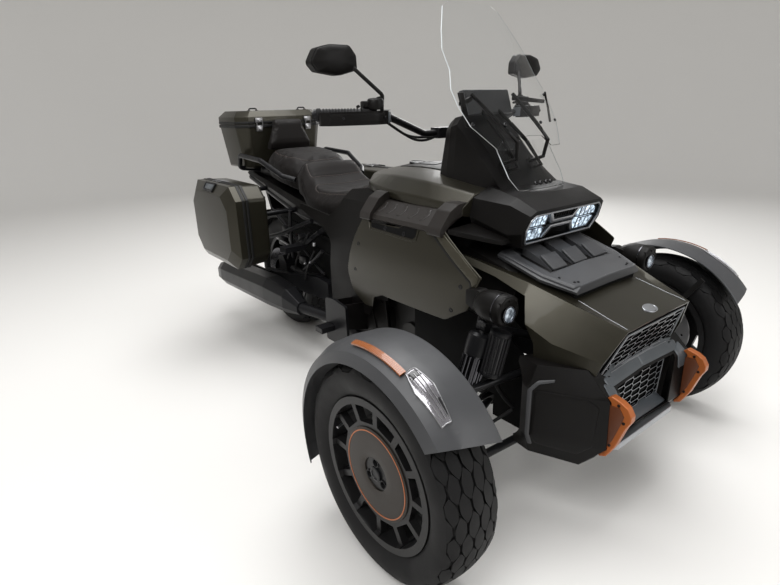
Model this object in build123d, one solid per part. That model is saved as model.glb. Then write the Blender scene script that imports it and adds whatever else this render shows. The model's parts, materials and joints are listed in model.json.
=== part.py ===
"""Three-wheeled open roadster: two steered wheels in front, one driven wheel behind, a rider and a passenger
in line, a hard top case and two hard side cases.

Millimetres. The vehicle faces -Y, its left side is +X and up is +Z. The origin is on the ground at the
centre of the overall length and width. Most stations are written as a distance behind the front axle,
through aft().
"""
from build123d import *
from math import acos, atan2, cos, hypot, pi, radians, sin
import os

# Driving dimensions
WHEELBASE = 1700
FRONT_TRACK = 1380
FRONT_OVERHANG = 370
REAR_OVERHANG = 430
FRONT_TYRE_R = 298
FRONT_TYRE_W = 165
FRONT_RIM_W = 132
REAR_TYRE_R = 315
REAR_TYRE_W = 225
REAR_RIM_W = 188
RIM_FLANGE_R = 207
TYRE_WALL = 11
RUNNING_GAP = 0.3
MOVING_GAP = 5
PANEL = 5
CASE_WALL = 4

FRONT_AXLE_Y = (FRONT_OVERHANG - WHEELBASE - REAR_OVERHANG) / 2
WHEEL_X = FRONT_TRACK / 2


def aft(distance):
    """Y of a station that lies this far behind the front axle."""
    return FRONT_AXLE_Y + distance


def tail(distance):
    """A station behind the front axle, given by its distance behind the rear axle."""
    return WHEELBASE + distance
# Outlines, lofts and mirrored pieces
def outline(points, radius):
    """A closed face through points, with one corner radius or a list of them."""
    if radius == 0:
        return make_face(Polyline(*points, close=True))
    return make_face(FilletPolyline(*points, radius=radius, close=True))


def side_prism(points, x0, x1, radius=0):
    """points are (distance behind the front axle, height); the prism runs from x0 to x1."""
    return extrude(outline([(x0, aft(d), z) for d, z in points], radius), amount=x1 - x0, dir=(1, 0, 0))


def front_prism(points, d0, d1, radius=0):
    """points are (x, height); the prism runs between two distances behind the front axle."""
    return extrude(outline([(x, aft(d0), z) for x, z in points], radius), amount=d1 - d0, dir=(0, 1, 0))


def plan_prism(points, z0, z1, radius=0):
    """points are (x, distance behind the front axle); the prism runs from z0 to z1."""
    return extrude(outline([(x, aft(d), z0) for x, d in points], radius), amount=z1 - z0, dir=(0, 0, 1))


def block(x0, x1, d0, d1, z0, z1):
    return side_prism([(d0, z0), (d1, z0), (d1, z1), (d0, z1)], x0, x1)


def loft_rings(rings, radii=0):
    """A ruled body through rings of points with the same count and the same corner radii."""
    wires = []
    for ring in rings:
        if radii == 0:
            wires.append(Wire.make_polygon([Vector(*p) for p in ring], close=True))
        else:
            wires.append(FilletPolyline(*ring, radius=radii, close=True).wire())
    return Part() + Solid.make_loft(wires, ruled=True)


def full_ring(half):
    """A symmetric ring from its +X half, which runs from the top centre to the bottom centre."""
    return half + [(-x, z) for x, z in reversed(half) if x > 0]


def hull(stations, radii=0):
    """A symmetric body through stations of (distance behind the front axle, half ring of (x, z))."""
    rings = [[(x, aft(d), z) for x, z in full_ring(half)] for d, half in stations]
    if radii != 0:
        half = stations[0][1]
        radii = radii + [r for (x, _), r in reversed(list(zip(half, radii))) if x > 0]
    return loft_rings(rings, radii)


def eased(stations, steps=3):
    """Adds stations on a smooth curve through the given ones, so that a ruled loft looks rounded."""
    ds = [d for d, _ in stations]
    rows = [[c for point in half for c in point] for _, half in stations]
    last = len(ds) - 1

    def slope(i, k):
        a, b = max(i - 1, 0), min(i + 1, last)
        return (rows[b][k] - rows[a][k]) / (ds[b] - ds[a])
    result = []
    for i in range(last):
        span = ds[i + 1] - ds[i]
        for step in range(steps):
            t = step / steps
            rise = 3 * t ** 2 - 2 * t ** 3
            lead, trail = t ** 3 - 2 * t ** 2 + t, t ** 3 - t ** 2
            row = [rows[i][k] * (1 - rise) + rows[i + 1][k] * rise
                   + span * (lead * slope(i, k) + trail * slope(i + 1, k)) for k in range(len(rows[i]))]
            result.append((ds[i] + t * span, list(zip(row[::2], row[1::2]))))
    return result + [stations[last]]


def inset_half(half, wall, drop=0):
    """The half ring pulled in by a wall; drop lowers its bottom so that the shell opens below."""
    low = min(z for _, z in half)
    return [(max(x - wall, 0) if x > 0 else 0, z - drop if z <= low + 1 else z - wall) for x, z in half]


def plan_loft(levels, radii=0):
    """A symmetric body through levels of (z, half ring of (x, distance)), front centre to rear centre."""
    rings = [[(x, aft(d), z) for x, d in full_ring(half)] for z, half in levels]
    if radii != 0:
        half = levels[0][1]
        radii = radii + [r for (x, _), r in reversed(list(zip(half, radii))) if x > 0]
    return loft_rings(rings, radii)


def tube(points, radius, bend):
    """A round bar along points of (x, distance, z), bent with one radius."""
    spots = [(x, aft(d), z) for x, d, z in points]
    path = FilletPolyline(*spots, radius=bend) if len(spots) > 2 else Line(*spots)
    return sweep(Plane(origin=path @ 0, z_dir=path % 0) * Circle(radius), path=path)


def rod(a, b, radius):
    """A straight round bar between two places of (x, distance, z)."""
    start, end = Vector(a[0], aft(a[1]), a[2]), Vector(b[0], aft(b[1]), b[2])
    return extrude(Plane(origin=start, z_dir=end - start) * Circle(radius), amount=(end - start).length)


def drum(x0, x1, d, z, radius):
    """A cylinder about a line along X."""
    return rod((x0, d, z), (x1, d, z), radius)


def pair(shape):
    """A left piece and its mirror image on the right, as one piece."""
    return Compound(children=list(shape.solids()) + list(mirror(shape, about=Plane.YZ).solids()))


def joined(shapes):
    total = shapes[0]
    for shape in shapes[1:]:
        total = total + shape
    return total


# Wheels, about their own centre on the front axle line, with +X the outer side
BEAD_R = RIM_FLANGE_R - 14


def about(points):
    """Turns (x, radius) points into places above the wheel centre."""
    return [(x, 0, r) for x, r in points]


def tyre(radius, width, rim_width):
    """Hollow tyre: a closed section of arcs turned about the axle."""
    def skin(inset):
        half, crown = width / 2 - inset, radius - inset
        return [(rim_width / 2 - 2 - inset, RIM_FLANGE_R), (half, (RIM_FLANGE_R + crown) / 2 - 6),
                (half * 0.80, crown - width * 0.055), (0, crown)]
    foot, side, shoulder, crown = skin(0)
    foot_in, side_in, shoulder_in, crown_in = skin(TYRE_WALL)

    def arc(a, b, c):
        return ThreePointArc(*about([a, b, c]))

    def left(p):
        return (-p[0], p[1])
    low = BEAD_R + RUNNING_GAP
    heel = [foot, (foot[0], low), (foot_in[0], low), foot_in]
    wire = arc(left(foot), left(side), left(shoulder)) + arc(left(shoulder), crown, shoulder)
    wire += arc(shoulder, side, foot) + Polyline(*about(heel))
    wire += arc(foot_in, side_in, shoulder_in) + arc(shoulder_in, crown_in, left(shoulder_in))
    wire += arc(left(shoulder_in), left(side_in), left(foot_in))
    wire += Polyline(*about([left(p) for p in heel[::-1]]))
    return revolve(make_face(wire), axis=Axis.X)


SPOKES = 12
SPOKE_W = 15
WINDOW_IN_R = 136
WINDOW_OUT_R = 184
FACE_OFFSET = 12
FLANGE_LIP = 5
SPOKE_DEPTH = 20
HUB_R = 62
SPINDLE_R = 15
LUG_HOLE_R = 9
LUG_CIRCLE_R = 33
CAP_R = 18


def rim(rim_width, hub_depth, through=False):
    """Cast wheel: a barrel with two flanges, windows between twelve spokes, and a bored hub."""
    half = rim_width / 2
    edge = half + FLANGE_LIP
    floor_r = BEAD_R - 9
    points = [(-edge, RIM_FLANGE_R), (2 - half, RIM_FLANGE_R), (2 - half, BEAD_R), (half - 2, BEAD_R),
              (half - 2, RIM_FLANGE_R), (edge, RIM_FLANGE_R), (edge, BEAD_R - 6), (half - 6, floor_r),
              (6 - half, floor_r), (-edge, BEAD_R - 6)]
    face_x = edge - FACE_OFFSET
    wheel = revolve(make_face(Polyline(*about(points), close=True)), axis=Axis.X)
    wheel += wheel_drum(face_x - SPOKE_DEPTH, face_x, floor_r + 3)
    wheel += wheel_drum(face_x - hub_depth, face_x - 1, HUB_R)
    half_angle = radians(180 / SPOKES)
    inner, outer = [r * sin(half_angle) - SPOKE_W / 2 for r in (WINDOW_IN_R, WINDOW_OUT_R)]
    corners = [(-inner, WINDOW_IN_R), (inner, WINDOW_IN_R), (outer, WINDOW_OUT_R), (-outer, WINDOW_OUT_R)]
    window = make_face(Polyline(*[(0, t, r) for t, r in corners], close=True))
    window = extrude(window, amount=edge, dir=(1, 0, 0))
    for i in range(SPOKES):
        wheel -= Rot(360 / SPOKES * (i + 0.5), 0, 0) * window
    bore_end = face_x + 1 if through else face_x - 14
    wheel -= wheel_drum(face_x - hub_depth - 1, bore_end, SPINDLE_R + RUNNING_GAP)
    for i in range(3):
        turn = radians(120 * i + 90)
        y, z = LUG_CIRCLE_R * cos(turn), LUG_CIRCLE_R * sin(turn)
        wheel -= wheel_drum(face_x - 12, face_x + 1, LUG_HOLE_R, y, z)
    if not through:
        wheel += wheel_drum(face_x - 2, face_x + 3, CAP_R)
    return wheel


def wheel_drum(x0, x1, radius, y=0, z=0):
    """A cylinder along the axle, about the wheel centre."""
    return extrude(Plane(origin=(x0, y, z), z_dir=(1, 0, 0)) * Circle(radius), amount=x1 - x0)


def wheel_plate(points, x0, x1, radius=0):
    """An outline of (y, z) about the wheel centre, along the axle from x0 to x1."""
    return extrude(outline([(x0, y, z) for y, z in points], radius), amount=x1 - x0, dir=(1, 0, 0))


FRONT_FACE_X = FRONT_RIM_W / 2 + FLANGE_LIP - FACE_OFFSET
FRONT_HUB_DEPTH = 62
HUB_BACK_X = FRONT_FACE_X - FRONT_HUB_DEPTH
DISC_R = 135
DISC_T = 5
DISC_X = HUB_BACK_X - 18
DISC_BACK_X = DISC_X - DISC_T
BELL_R = 80


def brake_disc(radius, face_x, back_x, bore):
    """Brake disc with its bell, seated on the back of a hub at face_x and reaching back to back_x."""
    disc = wheel_drum(back_x, back_x + DISC_T, radius) + wheel_drum(back_x, face_x, BELL_R)
    disc -= wheel_drum(back_x + DISC_T, face_x - 4, BELL_R - 6)
    disc -= wheel_drum(back_x - 1, face_x + 1, bore)
    for i in range(12):
        turn = radians(30 * i)
        reach = (radius + BELL_R) / 2
        disc -= wheel_drum(back_x - 1, back_x + DISC_T + 1, 5, reach * cos(turn), reach * sin(turn))
    return disc


# Knuckles and front fenders, about the wheel centre
KINGPIN_INSET = 95
UPPER_BALL_Z = 112
LOWER_BALL_Z = -105
PIN_R = 7
STEER_ARM = 110
STEER_ARM_Z = -53
STEER_ARM_T = 18
FENDER_R = 338
FENDER_FRONT = 57
FENDER_REAR = 112
FENDER_T = 4
STAY_X = -94
PIN_DEPTH = 30


def knuckle():
    """Hub carrier: spindle, upright between the two ball joints, steering arm, caliper and fender stays."""
    x = -KINGPIN_INSET
    back = DISC_BACK_X - MOVING_GAP
    body = wheel_drum(x, FRONT_FACE_X - 16, SPINDLE_R) + wheel_drum(x - 14, back, 44)
    waist = [(-26, LOWER_BALL_Z), (26, LOWER_BALL_Z), (34, 0), (24, UPPER_BALL_Z), (-24, UPPER_BALL_Z),
             (-34, 0)]
    body += wheel_plate(waist, x - 14, x + 14, 8)
    arm = [(0, -62), (STEER_ARM + 14, -62), (STEER_ARM + 14, -44), (0, -40)]
    body += wheel_plate(arm, x - 12, x + 12)
    caliper = wheel_plate([(62, 20), (122, 40), (112, 92), (70, 112), (36, 82)], back - 20, DISC_X + 22, 10)
    caliper -= wheel_drum(DISC_BACK_X - MOVING_GAP, DISC_X + MOVING_GAP, DISC_R + MOVING_GAP)
    caliper -= wheel_drum(DISC_BACK_X - MOVING_GAP, FRONT_FACE_X, BELL_R + MOVING_GAP)
    body += caliper + wheel_plate([(0, 0), (70, 30), (60, 70), (10, 60)], back - 20, back - 2)
    for z0, z1 in ((UPPER_BALL_Z - PIN_DEPTH - 2, UPPER_BALL_Z + 1),
                   (LOWER_BALL_Z - 1, LOWER_BALL_Z + PIN_DEPTH + 2)):
        hole = Plane(origin=(x, 0, z0)) * Circle(PIN_R + RUNNING_GAP)
        body -= extrude(hole, amount=z1 - z0)
    for lean in (-34, 38):
        stay = wheel_plate([(-9, 30), (9, 30), (9, FENDER_R - 24), (-9, FENDER_R - 24)], STAY_X - 6, STAY_X)
        body += Rot(-lean, 0, 0) * stay
    return body


def fender():
    """Front fender: a crowned shell over the tyre, from low behind it to high ahead of it."""
    outer = [(-90, FENDER_R - 22), (-90, FENDER_R - 2), (-66, FENDER_R + 10), (0, FENDER_R + 15),
             (44, FENDER_R + 12), (84, FENDER_R - 8), (97, FENDER_R - 36)]
    inner = [(x, r - FENDER_T) for x, r in outer]
    inner[0], inner[-1] = (outer[0][0] + FENDER_T, outer[0][1]), (outer[-1][0] - FENDER_T, outer[-1][1])
    inner[1] = (outer[1][0] + FENDER_T, outer[1][1] - 2)
    inner[-2] = (outer[-2][0] - 2, outer[-2][1] - FENDER_T)
    section = make_face(Polyline(*about(outer + inner[::-1]), close=True))
    section = Rot(FENDER_FRONT, 0, 0) * section
    return revolve(section, axis=Axis.X, revolution_arc=-(FENDER_FRONT + FENDER_REAR))


def fender_lamp():
    """Long signal lamp that lies in the crown of the fender, ahead of the axle."""
    section = make_face(Polyline(*about([(18, FENDER_R + 14), (62, FENDER_R + 5), (62, FENDER_R + 9),
                                         (40, FENDER_R + 20), (18, FENDER_R + 19)]), close=True))
    return revolve(Rot(43, 0, 0) * section, axis=Axis.X, revolution_arc=-24)


def place(shape, side, axle_z=FRONT_TYRE_R):
    """Puts a front wheel piece on its axle: side is 1 for the left and -1 for the right."""
    if side < 0:
        shape = mirror(shape, about=Plane.YZ)
    return Pos(side * WHEEL_X, aft(0), axle_z) * shape


# Rear wheel, belt and swing arm
REAR_HUB_X = 95
SPROCKET_R = 118
SPROCKET_X0 = 128
SPROCKET_X1 = 160
BELT_T = 5
FRONT_SPROCKET_R = 48
FRONT_SPROCKET_AT = (925, 395)
ARM_IN_X = 172
ARM_OUT_X = 205
PIVOT_AT = (1010, 370)
REAR_DISC_BACK_X = 128


def rear_place(shape):
    return Pos(0, aft(WHEELBASE), REAR_TYRE_R) * shape


def rear_rim():
    wheel = rim(REAR_RIM_W, 80, through=True)
    tube_r = HUB_R - 12
    wheel += wheel_drum(-REAR_HUB_X, REAR_HUB_X, tube_r)
    return wheel - wheel_drum(-REAR_HUB_X, REAR_HUB_X, SPINDLE_R + RUNNING_GAP)


def rear_sprocket():
    """Belt wheel and its carrier, on the left of the hub."""
    carrier = wheel_drum(REAR_HUB_X, SPROCKET_X0, 60) + wheel_drum(SPROCKET_X0, SPROCKET_X1, SPROCKET_R)
    carrier -= wheel_drum(SPROCKET_X0 + 12, SPROCKET_X1 + 1, SPROCKET_R - 14)
    carrier += wheel_drum(SPROCKET_X0 + 12, SPROCKET_X1, 40)
    return carrier - wheel_drum(0, SPROCKET_X1 + 1, SPINDLE_R + RUNNING_GAP)


def belt_face(extra):
    """The outline that wraps both belt wheels, grown by extra."""
    (d1, z1), r1 = FRONT_SPROCKET_AT, FRONT_SPROCKET_R + extra
    (d2, z2), r2 = (WHEELBASE, REAR_TYRE_R), SPROCKET_R + extra
    run = hypot(d2 - d1, z2 - z1)
    heading = atan2(z2 - z1, d2 - d1)
    swing = acos((r1 - r2) / run)

    def spot(d, z, r, angle):
        return (SPROCKET_X0, aft(d + r * cos(angle)), z + r * sin(angle))
    up, down = heading + swing, heading - swing
    a, b = spot(d1, z1, r1, up), spot(d2, z2, r2, up)
    c, e = spot(d2, z2, r2, down), spot(d1, z1, r1, down)
    rear, front = spot(d2, z2, r2, heading), spot(d1, z1, r1, heading + pi)
    return make_face(Line(a, b) + ThreePointArc(b, rear, c) + Line(c, e) + ThreePointArc(e, front, a))


def drive_belt():
    band = extrude(belt_face(RUNNING_GAP + BELT_T), amount=SPROCKET_X1 - SPROCKET_X0, dir=(1, 0, 0))
    return band - extrude(belt_face(RUNNING_GAP), amount=SPROCKET_X1 - SPROCKET_X0, dir=(1, 0, 0))


def swing_arm():
    """Two legs joined ahead of the wheel, the pivot boss and the fixed rear axle."""
    leg = side_prism([(1090, 328), (1160, 322), (tail(-60), 288), (tail(45), 288), (tail(60), 315),
                      (tail(45), 342), (tail(-60), 345), (1180, 420), (1090, 412)], ARM_IN_X, ARM_OUT_X, 12)
    arm = leg + mirror(leg, about=Plane.YZ) + block(-ARM_IN_X, ARM_IN_X, 1095, 1165, 335, 405)
    arm += side_prism([(1000, 348), (1100, 345), (1100, 395), (1000, 392)], -90, 90)
    arm += drum(-96, 96, *PIVOT_AT, 34)
    arm -= drum(-97, 97, *PIVOT_AT, 14)
    arm -= block(SPROCKET_X0 - MOVING_GAP, SPROCKET_X1 + MOVING_GAP, 1090, 1170, 325, 480)
    arm += block(SPROCKET_X0 - MOVING_GAP - 1, ARM_IN_X, 1095, 1165, 335, 345)
    arm += drum(-ARM_OUT_X - 12, ARM_OUT_X + 12, WHEELBASE, REAR_TYRE_R, SPINDLE_R)
    arm += drum(SPROCKET_X1 + MOVING_GAP, ARM_IN_X, WHEELBASE, REAR_TYRE_R, 24)
    disc_out = -REAR_DISC_BACK_X - DISC_T - MOVING_GAP
    arm += drum(-ARM_IN_X, disc_out - 2, WHEELBASE, REAR_TYRE_R, 24)
    caliper = side_prism([(tail(-140), 350), (tail(-60), 350), (tail(-60), 430), (tail(-110), 440),
                          (tail(-145), 400)], -ARM_IN_X, -REAR_TYRE_W / 2 - MOVING_GAP)
    gap = drum(disc_out, -REAR_DISC_BACK_X + MOVING_GAP, WHEELBASE, REAR_TYRE_R, DISC_R + MOVING_GAP)
    gap += drum(-REAR_DISC_BACK_X, -REAR_HUB_X, WHEELBASE, REAR_TYRE_R, BELL_R + MOVING_GAP)
    return arm + (caliper - gap)


# Front suspension: arms with ball pins that stand in the knuckles, and spring dampers
BALL_X = WHEEL_X - KINGPIN_INSET
ARM_T = 16
ARM_ROOT_X = 150
UPPER_ARM_Z = FRONT_TYRE_R + UPPER_BALL_Z + MOVING_GAP + ARM_T / 2
LOWER_ARM_Z = FRONT_TYRE_R + LOWER_BALL_Z - MOVING_GAP - ARM_T / 2
UPPER_LEGS = (-74, 136)
LOWER_LEGS = (-66, 150)
LEG_OFFSET = 6


def wishbone(z_tip, z_root, roots, radius, pin_up):
    """An A arm on the left: two legs to the frame, an end plate and its ball pin."""
    tip = (BALL_X, 0, z_tip - LEG_OFFSET if pin_up else z_tip + LEG_OFFSET)
    legs = [rod(tip, (ARM_ROOT_X, d, z_root), radius) for d in roots]
    low = z_tip - ARM_T / 2
    plate = extrude(Plane(origin=(BALL_X, aft(0), low)) * Circle(22), amount=ARM_T)
    pin = Plane(origin=(BALL_X, aft(0), z_tip if pin_up else z_tip - ARM_T / 2 - MOVING_GAP - PIN_DEPTH))
    pin = extrude(pin * Circle(PIN_R), amount=ARM_T / 2 + MOVING_GAP + PIN_DEPTH)
    bushes = [drum_y(ARM_ROOT_X, d, z_root, 20, 26) for d in roots]
    return joined([plate, pin] + legs + bushes)


def drum_y(x, d, z, radius, length):
    """A cylinder along Y, centred at distance d."""
    return rod((x, d - length / 2, z), (x, d + length / 2, z), radius)


def wishbones():
    upper = wishbone(UPPER_ARM_Z, 440, UPPER_LEGS, 11, False)
    lower = wishbone(LOWER_ARM_Z, 220, LOWER_LEGS, 13, True)
    return Compound(children=list(pair(upper).solids()) + list(pair(lower).solids()))


DAMPER_LOW = (500, 16, 208)
DAMPER_TOP = (360, 4, 592)
COIL_R = 28
RESERVOIR_R = 26


def damper():
    """Spring and damper on the left, as stacked rings about one rod, with its reservoir ahead of it."""
    low, top = Vector(*DAMPER_LOW), Vector(*DAMPER_TOP)
    run = top - low

    def spot(share):
        p = low + run * share
        return (p.X, p.Y, p.Z)
    body = rod(spot(0), spot(1), 9) + rod(spot(0.55), spot(0.93), 21)
    body += rod(spot(0.10), spot(0.14), COIL_R + 3) + rod(spot(0.80), spot(0.86), COIL_R + 3)
    for i in range(8):
        share = 0.16 + 0.08 * i
        body += rod(spot(share), spot(share + 0.035), COIL_R)
    body += drum_y(*DAMPER_LOW, 17, 30) + drum_y(*DAMPER_TOP, 17, 30)
    body += rod((352, -50, 590), (384, -42, 468), RESERVOIR_R)
    return body + rod((361, -46, 560), (366, 0, 560), 12)


# Root body
def frame():
    """Tube frame: lower, upper and seat rails, cross tubes, pivot plates and the damper towers."""
    rails = [
        [(110, -200, 330), (110, 0, 235), (110, 900, 235), (110, 1000, 330)],
        [(120, -200, 330), (120, -190, 470), (130, 160, 560), (150, 560, 620), (140, 1000, 640)],
        [(140, 960, 640), (140, tail(-200), 700), (110, tail(310), 810)],
    ]
    tubes = []
    for points in rails:
        tubes.append(tube(points, 17, 45))
        tubes.append(tube([(-x, d, z) for x, d, z in points], 17, 45))
    crosses = [(110, -190, 328), (110, 300, 235), (110, 860, 235), (120, -150, 478), (135, 960, 640),
               (130, tail(-200), 700), (112, tail(280), 804)]
    for x, d, z in crosses:
        tubes.append(rod((-x, d, z), (x, d, z), 14))
    body = joined(tubes)
    for x0 in (102, -118):
        body += side_prism([(965, 300), (1050, 325), (1045, 430), (1010, 640), (960, 640)], x0, x0 + 16)
    body += drum(-102, 102, *PIVOT_AT, 14 - RUNNING_GAP)
    for side in (-1, 1):
        x = side * (ARM_ROOT_X - 15)
        inner, outer = sorted((x, side * 100))
        body += block(inner, outer, -90, 170, 205, 232)
        body += side_prism([(-100, 425), (150, 425), (170, 545), (-100, 478)], inner, outer)
        body += rod((side * 120, -40, 495), (side * DAMPER_TOP[0], DAMPER_TOP[1], DAMPER_TOP[2]), 12)
    return body


def engine():
    """Crankcase, leaning cylinder block, covers and sump."""
    case = side_prism([(430, 260), (480, 225), (800, 225), (850, 300), (850, 430), (700, 500), (430, 480)],
                      -165, 165, 20)
    box = side_prism([(800, 270), (955, 300), (970, 430), (900, 470), (800, 480)], -90, 110, 15)
    head = side_prism([(440, 470), (640, 490), (600, 600), (455, 590)], -150, 150, 12)
    covers = drum(-190, -160, 735, 350, 92) + drum(160, 188, 700, 350, 84) + drum(-178, -160, 540, 330, 50)
    fins = [block(-156, 156, 446, 625, 505 + 16 * i, 511 + 16 * i) for i in range(4)]
    sprocket = drum(105, 124, *FRONT_SPROCKET_AT, 36)
    sprocket += drum(124, SPROCKET_X1, *FRONT_SPROCKET_AT, FRONT_SPROCKET_R)
    return joined([case, box, head, covers, sprocket] + fins)


MUFFLER_X = -292


def exhaust():
    """Header pipe, link pipe and the muffler with its end cap, low on the right."""
    pipe = tube([(-60, 430, 400), (-60, 380, 330), (-150, 420, 215), (-215, 620, 205), (-215, 1000, 262),
                 (MUFFLER_X, 1200, 286)], 24, 50)
    rings = []
    for d, z, w, h in ((1190, 284, 30, 30), (1290, 300, 54, 60), (tail(-220), 300, 62, 74),
                       (tail(340), 272, 62, 68), (tail(415), 262, 50, 56)):
        corners = [(w, 0.45), (w * 0.55, 1), (-w * 0.55, 1), (-w, 0.45), (-w, -0.45), (-w * 0.55, -1),
                   (w * 0.55, -1), (w, -0.45)]
        rings.append([(MUFFLER_X + x, aft(d), z + h * share) for x, share in corners])
    body = loft_rings(rings, [9] * 8) + pipe
    return body - drum_y(MUFFLER_X, tail(410), 260, 26, 60)


def nose_stations(wall=0):
    """Half rings of the nose: centre, ridge foot, ridge, side, lower edge."""
    table = [
        (-330, [(0, 618), (140, 612), (163, 612), (196, 520), (190, 440), (0, 440)]),
        (-150, [(0, 662), (180, 655), (205, 665), (262, 560), (250, 470), (0, 470)]),
        (-40, [(0, 694), (208, 690), (232, 700), (292, 618), (286, 535), (0, 535)]),
        (190, [(0, 744), (232, 734), (260, 742), (300, 690), (290, 640), (0, 640)]),
    ]
    if wall == 0:
        return table
    return [(d, inset_half(half, wall, drop=40)) for d, half in table]


def nose_cut(shape):
    """Slopes the front of the nose back and down."""
    return shape - side_prism([(-306, 620), (-238, 430), (-500, 300), (-500, 700)], -400, 400)


def nose_cowl():
    """Olive nose: ridges either side of a sunk centre, open below and behind, with the front sloped back."""
    shell = nose_cut(hull(nose_stations()) - hull(nose_stations(PANEL)))
    rear_side = [(-97, 400), (-97, 546), (-45, 668), (60, 700), (250, 738), (250, 400)]
    return shell - side_prism(rear_side, 236, 400) - side_prism(rear_side, -400, -236)


def hex_cell(x, z, w, h, d0, d1):
    slope = w * 0.55
    corners = [(x - w, z), (x - slope, z + h), (x + slope, z + h), (x + w, z), (x + slope, z - h), (x - slope, z - h)]
    return front_prism(corners, d0, d1)


def nose_grilles():
    """Two grille plates pierced by staggered long hexagons."""
    upper = nose_cut(front_prism([(-158, 604), (158, 604), (194, 480), (-194, 480)], -310, -200))
    upper -= side_prism([(-292, 640), (-218, 430), (-100, 430), (-100, 640)], -400, 400)
    for row in range(5):
        z = 586 - 23 * row
        for i in range(-4, 5):
            x = 44 * i + (22 if row % 2 else 0)
            if abs(x) + 24 < 158 + (604 - z) * 0.28:
                upper -= hex_cell(x, z, 19, 8.5, -330, -180)
    lower = front_prism([(-150, 440), (150, 440), (128, 312), (-128, 312)], -268, -256)
    for row in range(5):
        z = 424 - 24 * row
        for i in range(-4, 5):
            x = 44 * i + (22 if row % 2 else 0)
            if abs(x) + 24 < 146 - (440 - z) * 0.17:
                lower -= hex_cell(x, z, 19, 9, -280, -240)
    return Compound(children=list(upper.solids()) + list(lower.solids()))


def bumper_levels(wall=0):
    table = [
        (226, [(0, -258), (185, -265), (246, -255), (300, -125), (292, -66), (230, -96), (0, -96)]),
        (300, [(0, -300), (200, -312), (228, -318), (328, -132), (302, -64), (230, -96), (0, -96)]),
        (440, [(0, -290), (180, -300), (226, -312), (328, -132), (302, -64), (230, -96), (0, -96)]),
        (505, [(0, -236), (196, -246), (226, -242), (300, -136), (288, -68), (230, -96), (0, -96)]),
    ]
    if wall == 0:
        return table
    inner = []
    for z, half in table:
        ring = [(max(x - wall, 0), d + wall if d < -100 else d + 40) for x, d in half]
        inner.append((z + (wall if z < 250 else -wall if z > 450 else 0), ring))
    return inner


def front_bumper():
    shell = plan_loft(bumper_levels()) - plan_loft(bumper_levels(PANEL))
    mouth = front_prism([(-158, 449), (158, 449), (133, 300), (-133, 300)], -400, -240)
    lining = front_prism([(-163, 454), (163, 454), (138, 295), (-138, 295)], -284, -256)
    return shell + (lining & plan_loft(bumper_levels())) - mouth


def bumper_guards():
    """Slim painted brackets that stand on the front face of the bumper and run to a point below."""
    tip = -FRONT_OVERHANG
    edge = [(-300, 448), (-313, 439), (-316, 400), (-316, 308), (-292, 276), (-298, 268), (-316, 276),
            (-338, 318), (-358, 380), (tip, 404), (tip, 420), (-358, 440), (-340, 450), (-312, 457)]
    return pair(side_prism(edge, 201, 223))


def skid_lip():
    edge = [(-198, -278), (-150, -314), (150, -314), (198, -278), (150, -290), (-150, -290)]
    return plan_prism(edge, 262, 282)


def hood_scoop():
    """Raised scoop plate on the nose with a sunk panel and three ramps."""
    plate = hull([(-148, [(0, 697), (148, 693), (164, 682), (160, 674), (0, 676)]),
                  (-52, [(0, 724), (184, 716), (202, 706), (198, 696), (0, 700)]),
                  (100, [(0, 763), (188, 757), (206, 748), (202, 738), (0, 742)])])
    pocket = hull([(-58, [(0, 760), (160, 760), (156, 712), (0, 713)]),
                   (60, [(0, 800), (162, 800), (160, 738), (0, 740)])])
    ramps = []
    for x in (-103, 0, 103):
        ramps.append(side_prism([(-50, 700), (-48, 714), (-8, 742), (60, 768), (60, 725)], x - 36, x + 36))
    return joined([plate - pocket] + ramps)


def pod_stations():
    """Half rings of the lamp housing: centre, top edge, shoulder, side, low side."""
    return [
        (-20, [(0, 878), (160, 876), (180, 862), (188, 826), (170, 777), (0, 777)]),
        (70, [(0, 916), (162, 914), (194, 896), (204, 812), (180, 772), (0, 772)]),
        (200, [(0, 938), (140, 934), (210, 906), (224, 852), (198, 798), (0, 790)]),
    ]


def lamp_housing():
    """Hollow pod with a sloped open front, and a wing back to each cargo board."""
    body = hull(pod_stations()) - side_prism([(0, 884), (40, 770), (-100, 760), (-100, 902)], -300, 300)
    half = [(0, 872), (157, 870), (174, 857), (181, 826), (165, 784), (0, 784)]
    wing = loft_rings([[(x, aft(d), z) for x, z in ring] for d, ring in (
        (24, [(150, 790), (196, 790), (196, 778), (150, 778)]),
        (110, [(150, 812), (258, 808), (258, 794), (150, 794)]),
        (196, [(200, 832), (318, 826), (320, 812), (200, 812)]))])
    return body - front_prism(full_ring(half), -40, 66) + pair(wing - block(-300, 300, -60, 66, 700, 900))


def headlamps():
    """Two split lamp clusters and the trim between them."""
    unit = joined([
        front_prism([(84, 866), (150, 866), (170, 853), (175, 830), (84, 830)], 24, 66),
        front_prism([(84, 825), (175, 825), (160, 789), (84, 789)], 34, 66)])
    trim = front_prism([(-78, 866), (-60, 866), (-40, 838), (40, 838), (60, 866), (78, 866), (78, 790),
                        (62, 790),
                        (44, 822), (-44, 822), (-62, 790), (-78, 790)], 40, 66)
    return Compound(children=list(pair(unit).solids()) + list(trim.solids()))


def side_lamps():
    """Round lamps beside the nose on short arms from the flanks."""
    lamp = drum_y(366, -48, 661, 42, 76) + drum_y(366, 2, 661, 30, 30) - drum_y(366, -86, 661, 30, 20)
    lamp += drum_y(366, -78, 661, 21, 22)
    lamp += block(340, 372, 10, 48, 640, 682)
    return pair(lamp)


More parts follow.
